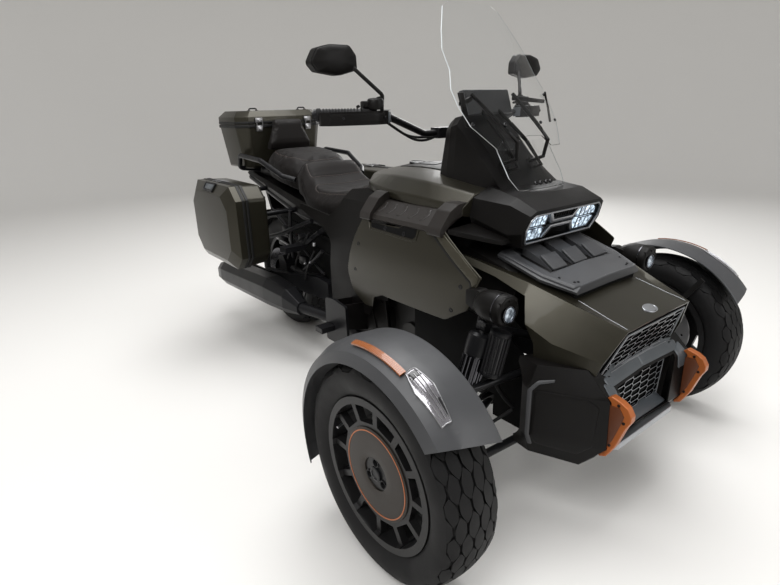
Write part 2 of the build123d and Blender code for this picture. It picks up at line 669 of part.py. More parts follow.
def tank_cover():
    """Olive top cover, a smooth crowned shape from the lamp housing to the rider's seat."""
    return hull(eased([
        (200, [(0, 934), (100, 925), (200, 918), (256, 880), (256, 856), (0, 800)]),
        (400, [(0, 962), (100, 955), (208, 935), (262, 895), (262, 864), (0, 800)]),
        (570, [(0, 970), (95, 962), (200, 942), (258, 900), (258, 876), (0, 800)]),
        (722, [(0, 958), (80, 950), (160, 932), (214, 905), (214, 880), (0, 800)]),
        (862, [(0, 930), (60, 927), (94, 915), (110, 892), (110, 860), (0, 800)]),
    ]), [0, 0, 40, 14, 5, 0])


def front_tub():
    """Closed storage tub and air box between the flanks, which carries the panels round it."""
    return hull([
        (30, [(0, 735), (150, 730), (200, 700), (200, 560), (140, 500), (0, 500)]),
        (200, [(0, 800), (190, 795), (236, 760), (236, 560), (160, 500), (0, 500)]),
        (420, [(0, 800), (200, 800), (240, 780), (240, 560), (160, 500), (0, 500)]),
    ])


FLANK_X = 358
FLANK_BOW = 36
FLANK_MID = (380, 660)


def flank_skin(offset):
    """The bowed skin that both flank panels are cut from, moved in by offset."""
    rings = []
    for d in (0, 90, 180, 270, 380, 490, 580, 670, 760):
        tuck = 14 * ((d - FLANK_MID[0]) / FLANK_MID[0]) ** 2
        side = [(FLANK_X - FLANK_BOW * ((z - FLANK_MID[1]) / 180) ** 2 - tuck - offset, z)
                for z in (840, 810, 780, 740, 700, 660, 620, 580, 540, 500, 450)]
        rings.append((d, [(0, 840)] + side + [(0, 450)]))
    return hull(rings)


def side_panels():
    """Olive flank panels, with a notch in the top edge and one in the lower rear edge."""
    edge = [(216, 830), (380, 816), (400, 803), (560, 796), (575, 810), (610, 806), (655, 720), (705, 597),
            (705, 505), (655, 458), (600, 466), (560, 520), (498, 546), (182, 550), (80, 612), (37, 718)]
    corners = [20, 10, 10, 8, 8, 24, 60, 40, 24, 24, 20, 20, 20, 40, 40, 8]
    panel = side_prism(edge, 280, 400, corners) & (flank_skin(0) - flank_skin(PANEL))
    return pair(panel)


def cargo_boards():
    """Black boards between the flank panels and the tank, each with an arched strap at both ends."""
    board = front_prism([(225, 872), (268, 866), (330, 826), (336, 812), (326, 804), (225, 850)], 225, 570)
    strap = [(236, 896), (272, 893), (304, 876), (344, 828), (348, 806), (336, 804), (296, 846), (236, 862)]
    straps = [front_prism(strap, d, d + 58, [0, 20, 24, 24, 6, 6, 20, 0]) for d in (200, 548)]
    return pair(joined([board] + straps))


def side_covers():
    """Black side covers behind the flank panels, from the foot rests up to the seat."""
    skin = hull([(560, [(0, 900), (190, 900), (232, 830), (240, 640), (232, 350), (0, 350)]),
                 (1300, [(0, 900), (170, 900), (212, 830), (236, 640), (232, 350), (0, 350)])])
    inner = hull([(560, [(0, 900), (184, 900), (226, 830), (234, 640), (226, 350), (0, 350)]),
                  (1300, [(0, 900), (164, 900), (206, 830), (230, 640), (226, 350), (0, 350)])])
    edge = [(600, 470), (690, 452), (730, 372), (1012, 362), (1006, 530), (985, 640), (1060, 690),
            (1270, 742), (1255, 764), (1000, 742), (930, 790), (860, 866), (720, 884), (600, 840)]
    cover = side_prism(edge, 150, 300, [10, 20, 14, 14, 40, 40, 60, 10, 6, 30, 30, 30, 30, 10])
    return pair(cover & (skin - inner))


def dash_cowl():
    """Black nose of the dash, from the tank up to the display."""
    return hull([
        (150, [(0, 925), (110, 925), (140, 924), (120, 915), (0, 915)]),
        (250, [(0, 1035), (92, 1030), (122, 1008), (142, 915), (0, 915)]),
        (355, [(0, 1140), (104, 1138), (128, 1112), (142, 930), (0, 930)]),
        (388, [(0, 1136), (102, 1132), (122, 1104), (142, 938), (0, 938)]),
        (430, [(0, 1118), (84, 1114), (100, 1092), (130, 945), (0, 945)]),
    ])


def display():
    return side_prism([(322, 1138), (346, 1142), (376, 1212), (350, 1216)], -106, 106, 5)


SCREEN_LEAN = 0.65
SCREEN_T = 4


def screen(depth, x_half, bow, d0, z0, z1, corner_r, half):
    """A clear sheet bowed across and leaning back, cut to a front outline."""
    def arc(shift):
        side_y = aft(d0 + bow) + shift
        return [(-x_half, side_y, z0), (0, aft(d0) + shift, z0), (x_half, side_y, z0)]
    front, back = arc(0), arc(depth)
    edges = ThreePointArc(*front) + Line(front[2], back[2])
    edges += ThreePointArc(*back[::-1]) + Line(back[0], front[0])
    sheet = extrude(make_face(edges), amount=(z1 - z0) * hypot(SCREEN_LEAN, 1), dir=(0, SCREEN_LEAN, 1))
    shape = full_ring(half)
    return sheet & front_prism(shape, d0 - 100, d0 + 500, [0 if x == 0 else corner_r for x, _ in shape])


def windshield():
    """The tall screen and the low deflector behind its foot."""
    tall = screen(SCREEN_T, 260, 52, 128, 1020, 1500, 10, [
        (0, 1480), (98, 1476), (126, 1462), (168, 1385), (192, 1330), (196, 1270), (218, 1215), (218, 1165),
        (206, 1110), (150, 1042), (92, 1042), (60, 1074), (0, 1076)])
    low = screen(SCREEN_T, 160, 24, 92, 922, 1100, 8, [
        (0, 1062), (96, 1062), (128, 1040), (128, 960), (112, 924), (0, 924)])
    return Compound(children=list(tall.solids()) + list(low.solids()))


def rider_seat():
    """Saddle with a dip for the rider and a raised bolster behind."""
    return hull(eased([
        (868, [(0, 886), (80, 884), (108, 852), (112, 800), (60, 780), (0, 780)]),
        (1000, [(0, 832), (146, 830), (188, 786), (182, 738), (90, 722), (0, 722)]),
        (1180, [(0, 812), (158, 820), (200, 776), (190, 732), (90, 722), (0, 722)]),
        (1268, [(0, 856), (150, 862), (190, 804), (184, 742), (90, 730), (0, 730)]),
        (1328, [(0, 928), (138, 924), (176, 868), (172, 770), (90, 745), (0, 745)]),
        (1388, [(0, 924), (118, 920), (158, 874), (158, 790), (90, 760), (0, 760)]),
    ]), [0, 26, 26, 10, 0, 0])


def passenger_seat():
    return hull(eased([
        (tail(-306), [(0, 924), (112, 921), (150, 876), (152, 800), (90, 775), (0, 775)]),
        (tail(-230), [(0, 955), (138, 951), (172, 900), (168, 815), (90, 785), (0, 785)]),
        (tail(-70), [(0, 975), (138, 971), (172, 918), (164, 835), (90, 805), (0, 805)]),
        (tail(8), [(0, 968), (112, 965), (150, 918), (146, 845), (90, 820), (0, 820)]),
    ]), [0, 26, 22, 8, 0, 0])


def tail_covers():
    """Side covers behind the flanks and the black tail under the seats."""
    rear = hull([
        (1000, [(0, 718), (150, 716), (165, 690), (150, 640), (0, 640)]),
        (tail(-320), [(0, 752), (150, 750), (165, 720), (150, 660), (0, 660)]),
        (tail(30), [(0, 812), (140, 810), (155, 790), (130, 740), (0, 740)]),
        (tail(340), [(0, 850), (110, 848), (120, 830), (90, 790), (0, 790)]),
    ])
    return Compound(children=list(side_covers().solids()) + list(rear.solids()))


def case_carrier():
    """Plate under the top case and the arms that hold the side cases."""
    body = plan_prism([(-130, tail(40)), (130, tail(40)), (110, tail(360)), (-110, tail(360))], 858, 874, 20)
    body += block(-90, 90, tail(60), tail(300), 800, 858)
    for d, z in ((tail(-260), 700), (tail(80), 770)):
        body += rod((-336, d, z), (336, d, z), 11)
    for side in (-1, 1):
        x0, x1 = sorted((side * 326, side * 338))
        body += block(x0, x1, tail(-300), tail(120), 690, 790)
    return body


def backrest():
    """Passenger's back pad, narrower at the top, on its bracket."""
    rings = []
    for z, half, front, rear in ((972, 118, 22, 64), (1000, 118, 12, 60), (1112, 78, 24, 62), (1122, 74, 34, 60)):
        rings.append([(-half, aft(tail(front)), z), (half, aft(tail(front)), z), (half, aft(tail(rear)), z),
                      (-half, aft(tail(rear)), z)])
    pad = loft_rings(rings)
    return pad + block(-60, 60, tail(56), tail(78), 990, 1050)


def grab_handles():
    bar = tube([(190, tail(-356), 858), (230, tail(-300), 874), (258, tail(-140), 938), (258, tail(96), 950),
                (240, tail(156), 880), (128, tail(156), 864)], 12, 30)
    return pair(bar)


CASE_SEAM_GAP = 1


def tray(levels, axis, open_end):
    """A box lofted between two rectangles with cut corners, hollowed from the open end."""
    def ring(level, grow):
        at, u0, u1, v0, v1, cut = level
        u0, u1, v0, v1 = u0 - grow, u1 + grow, v0 - grow, v1 + grow
        corners = [(u0 + cut, v0), (u1 - cut, v0), (u1, v0 + cut), (u1, v1 - cut), (u1 - cut, v1),
                   (u0 + cut, v1), (u0, v1 - cut), (u0, v0 + cut)]
        if axis == "z":
            return [(u, aft(v), at) for u, v in corners]
        return [(at, aft(u), v) for u, v in corners]
    outer = loft_rings([ring(level, 0) for level in levels])
    inner = []
    for i, level in enumerate(levels):
        at = level[0]
        ends = len(levels) - 1
        if i == 0:
            at += -10 if open_end == 0 else CASE_WALL * (1 if levels[1][0] > at else -1)
        if i == ends:
            step = 1 if levels[ends][0] > levels[0][0] else -1
            at += 10 * step if open_end == 1 else -CASE_WALL * step
        inner.append(ring((at,) + level[1:], -CASE_WALL))
    return outer - loft_rings(inner)


TOP_SEAM_Z = 1100
TOP_CASE = (-250, 250, tail(82), tail(398), 52)
LID_HINGE_R = 5
LID_HINGE_AT = TOP_CASE[3] + LID_HINGE_R + 1


def top_case():
    base = (876, -215, 215, tail(106), tail(375), 30)
    return tray([base, (TOP_SEAM_Z,) + TOP_CASE], "z", 1)


def top_case_lid():
    low = (TOP_SEAM_Z + CASE_SEAM_GAP,) + TOP_CASE
    lid = tray([low, (1136,) + TOP_CASE, (1166, -222, 222, tail(112), tail(366), 50)], "z", 0)
    for x in (-120, 120):
        lid += drum(x - 30, x + 30, LID_HINGE_AT, TOP_SEAM_Z + CASE_SEAM_GAP, LID_HINGE_R)
        lid += block(x - 28, x + 28, TOP_CASE[3] - CASE_WALL / 2, LID_HINGE_AT,
                     TOP_SEAM_Z + CASE_SEAM_GAP + 2, TOP_SEAM_Z + CASE_SEAM_GAP + 5)
    return lid


SIDE_SEAM_X = 446
SIDE_CASE = (tail(-350), tail(160), 468, 850, 60)
SIDE_HINGE_R = 5
SIDE_HINGE_Z = SIDE_CASE[2] - SIDE_HINGE_R - 1


def side_case():
    return tray([(340, tail(-344), tail(154), 474, 844, 60), (SIDE_SEAM_X,) + SIDE_CASE], "x", 1)


def side_case_lid():
    """Outer lid with two hinge barrels along its lower edge."""
    seam_x = SIDE_SEAM_X + CASE_SEAM_GAP
    outer = (522, tail(-308), tail(118), 508, 806, 60)
    lid = tray([(seam_x,) + SIDE_CASE, (492,) + SIDE_CASE, outer], "x", 0)
    axis_x = SIDE_SEAM_X + CASE_SEAM_GAP / 2
    for d in (tail(-200), tail(10)):
        lid += drum_y(axis_x, d, SIDE_HINGE_Z, SIDE_HINGE_R, 60)
        lid += block(seam_x + 1, seam_x + 4, d - 28, d + 28, SIDE_HINGE_Z, SIDE_CASE[2] + CASE_WALL / 2)
    return lid


PLATE_AT = tail(362)
PLATE_T = 4
PLATE_W, PLATE_H = 180, 130
PLATE_Z = 535
PLATE_HOLE_X, PLATE_HOLE_Z = 70, 45
PLATE_HOLE_R = 3.5


def rear_fender():
    """Black hugger over the rear tyre and the plate bracket behind it."""
    radius = REAR_TYRE_R + 22
    half = REAR_TYRE_W / 2 + 12
    skirt, wall = radius - 34, half - 4
    points = [(-half, skirt), (-half, radius - 6), (-half + 22, radius + 8), (half - 22, radius + 8),
              (half, radius - 6), (half, skirt), (wall, skirt), (wall, radius - 8), (half - 24, radius + 4),
              (24 - half, radius + 4), (-wall, radius - 8), (-wall, skirt)]
    section = Rot(10, 0, 0) * make_face(Polyline(*about(points), close=True))
    arc = rear_place(revolve(section, axis=Axis.X, revolution_arc=-75))
    strut = side_prism([(tail(180), 600), (tail(200), 600), (tail(290), 800), (tail(260), 800)], -60, 60)
    low, high = PLATE_Z - PLATE_H / 2, PLATE_Z + PLATE_H / 2
    plate = block(-PLATE_W / 2, PLATE_W / 2, PLATE_AT, PLATE_AT + PLATE_T, low, high)
    for x in (-PLATE_HOLE_X, PLATE_HOLE_X):
        for z in (PLATE_Z - PLATE_HOLE_Z, PLATE_Z + PLATE_HOLE_Z):
            plate -= drum_y(x, PLATE_AT, z, PLATE_HOLE_R, 4 * PLATE_T)
    arm = side_prism([(tail(185), 612), (tail(205), 592), (PLATE_AT, 520), (PLATE_AT, 548), (tail(214), 648)],
                     -30, 30)
    return joined([arc, strut, plate, arm])


def tail_lamps():
    edge = [(tail(340), 795), (tail(356), 800), (tail(362), 840), (tail(340), 846)]
    return side_prism(edge, -105, 105, 3)


def foot_pegs():
    """Rider and passenger pegs with their plates and the heel guards."""
    guard = side_prism([(712, 300), (760, 262), (868, 262), (862, 446), (800, 452), (716, 440)], 346, 358, 12)
    body = guard + rod((118, 820, 330), (350, 820, 330), 12)
    body += block(350, 420, 800, 850, 318, 340)
    return pair(body + rod((138, 1180, 650), (230, 1260, 560), 12) + block(224, 330, 1235, 1290, 548, 572))


def belly_pan():
    return side_prism([(-170, 225), (-120, 168), (860, 168), (900, 200), (880, 206), (-110, 206)], -88, 88)


HITCH_REACH = WHEELBASE + REAR_OVERHANG - 25
HITCH_PLATE_Z = 300
HITCH_PLATE_T = 12
BALL_R = 25
CHAIN_HOLE_X = 44
CHAIN_HOLE_R = 8


def tow_hitch():
    """Hitch arms from the rear axle ends, a cross bar, the ball and its plate with two chain holes."""
    reach = ARM_OUT_X + 9
    body = block(-reach, reach, tail(340), tail(370), 296, 326)
    for side in (-1, 1):
        x0, x1 = sorted((side * (ARM_OUT_X + 1), side * reach))
        body += side_prism([(tail(-20), 290), (tail(370), 290), (tail(370), 335), (tail(-20), 340)], x0, x1)
    top = HITCH_PLATE_Z + HITCH_PLATE_T
    body += plan_prism([(-60, tail(360)), (60, tail(360)), (60, tail(385)), (25, HITCH_REACH + 22),
                        (-25, HITCH_REACH + 22), (-60, tail(385))], HITCH_PLATE_Z, top)
    body += extrude(Plane(origin=(0, aft(HITCH_REACH), top)) * Circle(12), amount=BALL_R + 10)
    body += Pos(0, aft(HITCH_REACH), top + BALL_R + 20) * Sphere(BALL_R)
    for x in (-CHAIN_HOLE_X, CHAIN_HOLE_X):
        hole = Plane(origin=(x, aft(tail(386)), HITCH_PLATE_Z - 1)) * Circle(CHAIN_HOLE_R)
        body -= extrude(hole, amount=HITCH_PLATE_T + 2)
    return body


def spring_dampers():
    """The two front dampers and the one between the swing arm and the frame."""
    rear = rod((0, 1130, 405), (0, 985, 640), 10) + rod((0, 1110, 437), (0, 1005, 608), 36)
    return Compound(children=list(pair(damper()).solids()) + list(rear.solids()))


# Steering
HEAD_AT = (500, 1050)
HEAD_LEAN = 0.30
BAR_R = 11


def handlebar():
    """Bar with its grips, clamp block and stem."""
    bar = tube([(-520, 590, 1152), (-330, 478, 1150), (-120, 520, 1080), (120, 520, 1080), (330, 478, 1150),
                (520, 590, 1152)], BAR_R, 35)
    axis = Vector(0, HEAD_LEAN, 1).normalized()
    stem_top = Vector(0, HEAD_AT[0] + 12, HEAD_AT[1] + 40)
    stem_low = stem_top - axis * 120
    stem = rod((0, stem_low.Y, stem_low.Z), (0, stem_top.Y, stem_top.Z), 18)
    clamp = block(-70, 70, 498, 542, 1062, 1098)
    for side in (-1, 1):
        a, b = Vector(side * 385, 510.5, 1150.6), Vector(side * 515, 587, 1152)
        bar += rod((a.X, a.Y, a.Z), (b.X, b.Y, b.Z), 17)
    return bar + stem + clamp


def hand_guards():
    """Slim guards ahead of the grips, curled back round the bar ends."""
    half = [(300, 480), (322, 462), (372, 452), (468, 488), (505, 514), (517, 546), (508, 572), (494, 562),
            (478, 528), (376, 480), (334, 484)]
    radii = [8, 12, 40, 30, 20, 14, 6, 6, 16, 30, 8]
    levels = [[(x, aft(d), z) for x, d in half] for z in (1120, 1160)]
    return pair(loft_rings(levels, radii))


def mirrors():
    """Slim bent stems and the two mirror heads."""
    stem = tube([(330, 484, 1152), (330, 478, 1206), (400, 548, 1296)], 6, 15)
    outline = [(372, 1280), (440, 1263), (518, 1274), (540, 1298), (516, 1338), (470, 1350), (398, 1350),
               (374, 1322)]
    head = front_prism(outline, 548, 576, [10, 60, 16, 14, 20, 60, 20, 20])
    return pair(stem + head)


STEER_ROD_R = 9
STEER_EYE_R = 16
STEER_EYE_T = 24
STEER_ROD_Z = FRONT_TYRE_R + STEER_ARM_Z + STEER_ARM_T / 2 + MOVING_GAP + STEER_EYE_T / 2


def steering_links():
    """Rack bar and tie rods with their eyes, sliding across the vehicle."""
    reach = BALL_X - STEER_EYE_R + 4
    bar = rod((-reach, STEER_ARM, STEER_ROD_Z), (reach, STEER_ARM, STEER_ROD_Z), STEER_ROD_R)
    for x in (-BALL_X, BALL_X):
        eye = Plane(origin=(x, aft(STEER_ARM), STEER_ROD_Z - STEER_EYE_T / 2)) * Circle(STEER_EYE_R)
        bar += extrude(eye, amount=STEER_EYE_T)
    return bar


def steering_rack():
    case = drum(-190, 190, STEER_ARM, STEER_ROD_Z, 22) + block(-120, 120, 95, 125, 280, 330)
    return case - drum(-200, 200, STEER_ARM, STEER_ROD_Z, STEER_ROD_R + RUNNING_GAP)


def seated(shape, *others):
    """The shape with what its neighbours fill taken out, as its largest solids."""
    for other in others:
        shape = shape - other
    solids = shape.solids()
    biggest = max(s.volume for s in solids)
    kept = [s for s in solids if s.volume > biggest * 0.02]
    return kept[0] if len(kept) == 1 else Compound(children=kept)


front_tyre = tyre(FRONT_TYRE_R, FRONT_TYRE_W, FRONT_RIM_W)
front_rim = rim(FRONT_RIM_W, FRONT_HUB_DEPTH)
front_disc = brake_disc(DISC_R, HUB_BACK_X, DISC_BACK_X, 30)
front_knuckle, front_fender, front_fender_lamp = knuckle(), fender(), fender_lamp()
pieces = {}
for name, side in (("left", 1), ("right", -1)):
    pieces[f"front_tyre_{name}"] = place(front_tyre, side)
    pieces[f"front_rim_{name}"] = place(front_rim, side)
    pieces[f"brake_disc_{name}"] = place(front_disc, side)
    pieces[f"knuckle_{name}"] = place(front_knuckle, side)
    pieces[f"fender_{name}"] = place(front_fender - front_knuckle, side)
    pieces[f"fender_lamp_{name}"] = place(front_fender_lamp - front_fender, side)
pieces["rear_tyre"] = rear_place(tyre(REAR_TYRE_R, REAR_TYRE_W, REAR_RIM_W))
pieces["rear_rim"] = rear_place(rear_rim())
rear_disc = mirror(brake_disc(DISC_R, REAR_HUB_X, REAR_DISC_BACK_X, SPINDLE_R + RUNNING_GAP), about=Plane.YZ)
rear_parts = [rear_place(rear_sprocket()).solid(), rear_place(rear_disc).solid()]
pieces["rear_sprocket_and_disc"] = Compound(children=rear_parts)

# Pieces of the main body: name, shape, and the neighbours that each one is seated on
ROOT = [
    ("frame", frame(), []),
    ("swing_arm", swing_arm(), ["frame"]),
    ("engine", engine(), ["frame"]),
    ("drive_belt", drive_belt(), ["engine"]),
    ("exhaust", exhaust(), ["frame", "engine"]),
    ("wishbones", wishbones(), ["frame"]),
    ("spring_dampers", spring_dampers(), ["frame", "swing_arm", "wishbones"]),
    ("steering_rack", steering_rack(), ["frame"]),
    ("belly_pan", belly_pan(), ["frame", "engine"]),
    ("front_tub", front_tub(), ["frame", "engine", "spring_dampers", "steering_rack"]),
    ("nose_cowl", nose_cowl(), ["frame", "front_tub", "spring_dampers"]),
    ("nose_grilles", nose_grilles(), ["nose_cowl"]),
    ("hood_scoop", hood_scoop(), ["nose_cowl", "front_tub"]),
    ("front_bumper", front_bumper(), ["frame", "belly_pan", "wishbones", "nose_cowl", "nose_grilles"]),
    ("bumper_guards", bumper_guards(), ["front_bumper"]),
    ("skid_lip", skid_lip(), ["front_bumper", "nose_grilles"]),
    ("lamp_housing", lamp_housing(), ["nose_cowl", "hood_scoop", "front_tub"]),
    ("headlamps", headlamps(), ["lamp_housing"]),
    ("tank_cover", tank_cover(), ["lamp_housing", "front_tub"]),
    ("side_panels", side_panels(), ["front_tub", "frame", "engine"]),
    ("side_lamps", side_lamps(), ["side_panels"]),
    ("cargo_boards", cargo_boards(), ["side_panels", "tank_cover", "front_tub"]),
    ("tail_covers", tail_covers(),
     ["frame", "engine", "front_tub", "tank_cover", "side_panels", "spring_dampers"]),
    ("dash_cowl", dash_cowl(), ["lamp_housing", "tank_cover"]),
    ("display", display(), ["dash_cowl"]),
    ("windshield", windshield(), ["dash_cowl", "lamp_housing"]),
    ("rider_seat", rider_seat(), ["tank_cover", "tail_covers", "frame"]),
    ("passenger_seat", passenger_seat(), ["rider_seat", "tail_covers", "frame"]),
    ("case_carrier", case_carrier(), ["tail_covers", "frame", "passenger_seat"]),
    ("top_case", top_case(), ["case_carrier"]),
    ("backrest", backrest(), ["top_case", "passenger_seat"]),
    ("grab_handles", grab_handles(),
     ["rider_seat", "passenger_seat", "top_case", "case_carrier", "tail_covers"]),
    ("side_cases", pair(side_case()), ["case_carrier"]),
    ("rear_fender", rear_fender(), ["frame", "tail_covers", "case_carrier"]),
    ("tail_lamps", tail_lamps(), ["tail_covers", "case_carrier", "frame"]),
    ("foot_pegs", foot_pegs(), ["frame", "engine", "tail_covers", "exhaust"]),
    ("tow_hitch", tow_hitch(), ["swing_arm"]),
]
for name, shape, neighbours in ROOT:
    pieces[name] = seated(shape, *[pieces[other] for other in neighbours])

pieces["top_case_lid"] = top_case_lid()
pieces["side_case_lid_left"] = side_case_lid()
pieces["side_case_lid_right"] = mirror(side_case_lid(), about=Plane.YZ)
pieces["handlebar"] = handlebar()
pieces["hand_guards"] = seated(hand_guards(), pieces["handlebar"])
pieces["mirrors"] = seated(mirrors(), pieces["hand_guards"], pieces["handlebar"])
pieces["steering_links"] = steering_links()

os.makedirs("parts", exist_ok=True)
for name, piece in pieces.items():
    solids = piece.solids()
    export_step(solids[0] if len(solids) == 1 else Compound(children=list(solids)), f"parts/{name}.step")
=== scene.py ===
"""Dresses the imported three-wheeler: finishes, softened panels, tyres, lamps, seats, luggage and hardware."""
import json
from contextlib import contextmanager
from math import atan2, cos, hypot, pi, radians, sin, tan

import bmesh
import bpy
from mathutils import Matrix, Vector
from mathutils.bvhtree import BVHTree
from mathutils.kdtree import KDTree


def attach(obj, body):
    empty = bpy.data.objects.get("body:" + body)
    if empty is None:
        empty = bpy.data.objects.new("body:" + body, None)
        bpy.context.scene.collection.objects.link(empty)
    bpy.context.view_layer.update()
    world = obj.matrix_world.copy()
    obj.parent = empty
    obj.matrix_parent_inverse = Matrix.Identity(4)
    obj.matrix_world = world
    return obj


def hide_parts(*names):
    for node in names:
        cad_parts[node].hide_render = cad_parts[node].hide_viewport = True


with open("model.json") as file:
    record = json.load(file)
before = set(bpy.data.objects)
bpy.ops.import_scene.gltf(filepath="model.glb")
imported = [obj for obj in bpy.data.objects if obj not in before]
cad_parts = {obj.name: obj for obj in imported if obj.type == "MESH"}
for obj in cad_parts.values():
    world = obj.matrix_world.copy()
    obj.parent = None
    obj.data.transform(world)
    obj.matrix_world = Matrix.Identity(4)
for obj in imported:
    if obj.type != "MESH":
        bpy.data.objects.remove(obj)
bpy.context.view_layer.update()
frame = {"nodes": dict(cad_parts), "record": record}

bl_info = {
    "name": "Three-wheeled roadster",
    "version": (1, 0, 0),
    "blender": (4, 5, 0),
    "location": "3D View > Sidebar > Roadster",
    "description": "Builds a three-wheeled roadster's finishes and fine pieces round its rigid frame",
    "category": "Add Mesh",
}

NODES = frame["nodes"]
MM = 0.001

# Axles and wheel centres in metres
FRONT_AXLE_Y, FRONT_TYRE_R, WHEEL_X = -0.880, 0.298, 0.690
REAR_AXLE_Y, REAR_TYRE_R = 0.820, 0.315

# Tyres in millimetres: tread is half the width that carries blocks, columns its blocks from the middle out
FRONT_TYRE = {"radius": 298, "width": 165, "rim_width": 132, "tread": 88, "columns": 5}
REAR_TYRE = {"radius": 315, "width": 225, "rim_width": 188, "tread": 112, "columns": 6}
RIM_FLANGE_R = 207
HEEL_R = 193.6

# Lower and upper end of the left damper: x, distance behind the front axle, height
DAMPER_ENDS = ((500, 16, 208), (360, 4, 592))


def aft(distance_mm):
    """Y in metres of a station this many millimetres behind the front axle."""
    return FRONT_AXLE_Y + distance_mm * MM


def at(x, d, z):
    """A place from millimetres: x, distance behind the front axle, height."""
    return Vector((x * MM, aft(d), z * MM))


# Finishes
FINISHES = {}


def shader(name, color, rough, metal=0.0, coat=0.0):
    """A new material with its Principled shader; returns the tree, the shader and Object coordinates."""
    mat = bpy.data.materials.new(name)
    mat.use_nodes = True
    tree = mat.node_tree
    principled = tree.nodes["Principled BSDF"]
    principled.inputs["Base Color"].default_value = (*color, 1)
    principled.inputs["Roughness"].default_value = rough
    principled.inputs["Metallic"].default_value = metal
    principled.inputs["Coat Weight"].default_value = coat
    place = tree.nodes.new("ShaderNodeTexCoord").outputs["Object"]
    FINISHES[name] = mat
    return tree, principled, place


def noise_socket(tree, place, scale, detail):
    """Soft noise over the coordinates; returns its value."""
    tex = tree.nodes.new("ShaderNodeTexNoise")
    tex.inputs["Scale"].default_value = scale
    tex.inputs["Detail"].default_value = detail
    tex.inputs["Roughness"].default_value = 0.55
    tree.links.new(place, tex.inputs["Vector"])
    return tex.outputs["Fac"]


def ranged(tree, value, low, high, at_low=0.3, at_high=0.7):
    """Maps a value that runs from at_low to at_high onto low to high."""
    node = tree.nodes.new("ShaderNodeMapRange")
    node.inputs["From Min"].default_value = at_low
    node.inputs["From Max"].default_value = at_high
    node.inputs["To Min"].default_value = low
    node.inputs["To Max"].default_value = high
    tree.links.new(value, node.inputs["Value"])
    return node.outputs["Result"]


def mixed(tree, factor, a, b):
    """A colour between a and b."""
    node = tree.nodes.new("ShaderNodeMix")
    node.data_type = "RGBA"
    node.inputs["A"].default_value = (*a, 1)
    node.inputs["B"].default_value = (*b, 1)
    tree.links.new(factor, node.inputs["Factor"])
    return node.outputs["Result"]


def bump(tree, principled, height, strength, distance):
    """Adds a relief to the shader's normal."""
    node = tree.nodes.new("ShaderNodeBump")
    node.inputs["Strength"].default_value = strength
    node.inputs["Distance"].default_value = distance
    tree.links.new(height, node.inputs["Height"])
    tree.links.new(node.outputs["Normal"], principled.inputs["Normal"])


def shade(color, factor):
    """A colour made darker or lighter by a factor."""
    return tuple(min(c * factor, 1) for c in color)


def finish(name, color, rough, metal=0.0, coat=0.0, spread=0.12, grain=900, depth=0.00004, patch=7,
           gloss=0.5):
    """A paint, plastic or metal with soft patches of colour and roughness and a fine grain.

    spread is how far the patches vary, grain and patch are noise scales, and depth is the grain's height in
    metres.
    """
    tree, principled, place = shader(name, color, rough, metal, coat)
    principled.inputs["Specular IOR Level"].default_value = gloss
    patches = noise_socket(tree, place, patch, 5)
    varied = mixed(tree, ranged(tree, patches, 0, 1), shade(color, 1 - spread), shade(color, 1 + spread))
    tree.links.new(varied, principled.inputs["Base Color"])
    fine = noise_socket(tree, place, grain, 3)
    blend = tree.nodes.new("ShaderNodeMath")
    blend.operation = "ADD"
    tree.links.new(ranged(tree, patches, rough * (1 - spread), rough * (1 + spread)), blend.inputs[0])
    tree.links.new(ranged(tree, fine, -0.03, 0.03), blend.inputs[1])
    tree.links.new(blend.outputs[0], principled.inputs["Roughness"])
    bump(tree, principled, fine, 0.35, depth)


class FinishSettings(bpy.types.PropertyGroup):
    """Colours that a user would change."""
    body_color: bpy.props.FloatVectorProperty(
        name="Body paint", description="Satin paint of the panels and cases", subtype="COLOR",
        default=(0.031, 0.0282, 0.0198), min=0, max=1)
    accent_color: bpy.props.FloatVectorProperty(
        name="Accent", description="Satin colour of the bumper guards and the wheel stripe", subtype="COLOR",
        default=(0.36, 0.098, 0.020), min=0, max=1)
    plastic_color: bpy.props.FloatVectorProperty(
        name="Black plastic", description="Moulded black parts", subtype="COLOR",
        default=(0.0042, 0.0037, 0.0035), min=0, max=1)
    fender_color: bpy.props.FloatVectorProperty(
        name="Grey plastic", description="Moulded grey of the fenders and the scoop", subtype="COLOR",
        default=(0.040, 0.041, 0.044), min=0, max=1)
    seat_color: bpy.props.FloatVectorProperty(name="Seat", description="Seat covering", subtype="COLOR",
                                              default=(0.0048, 0.0035, 0.0031), min=0, max=1)


class StageSettings(bpy.types.PropertyGroup):
    """The floor, lights and lens."""
    floor_color: bpy.props.FloatVectorProperty(
        name="Floor", description="Colour of the floor and backdrop", subtype="COLOR",
        default=(0.72, 0.71, 0.69), min=0, max=1)
    lens: bpy.props.FloatProperty(name="Lens", description="Focal length on a 36 mm wide frame",
                                  default=24.45, min=10, max=200, unit="CAMERA")
    light: bpy.props.FloatProperty(name="Light", description="Level of the lamps", default=1.0, min=0, max=5)


class WheelSettings(bpy.types.PropertyGroup):
    """Sizes of the tread."""
    groove: bpy.props.FloatProperty(name="Groove depth", description="Depth of the tread", default=0.0065,
                                    min=0.001, max=0.01, unit="LENGTH")
    pitches: bpy.props.IntProperty(name="Tread pitches", description="Blocks round a tyre", default=19, min=8,
                                   max=60)


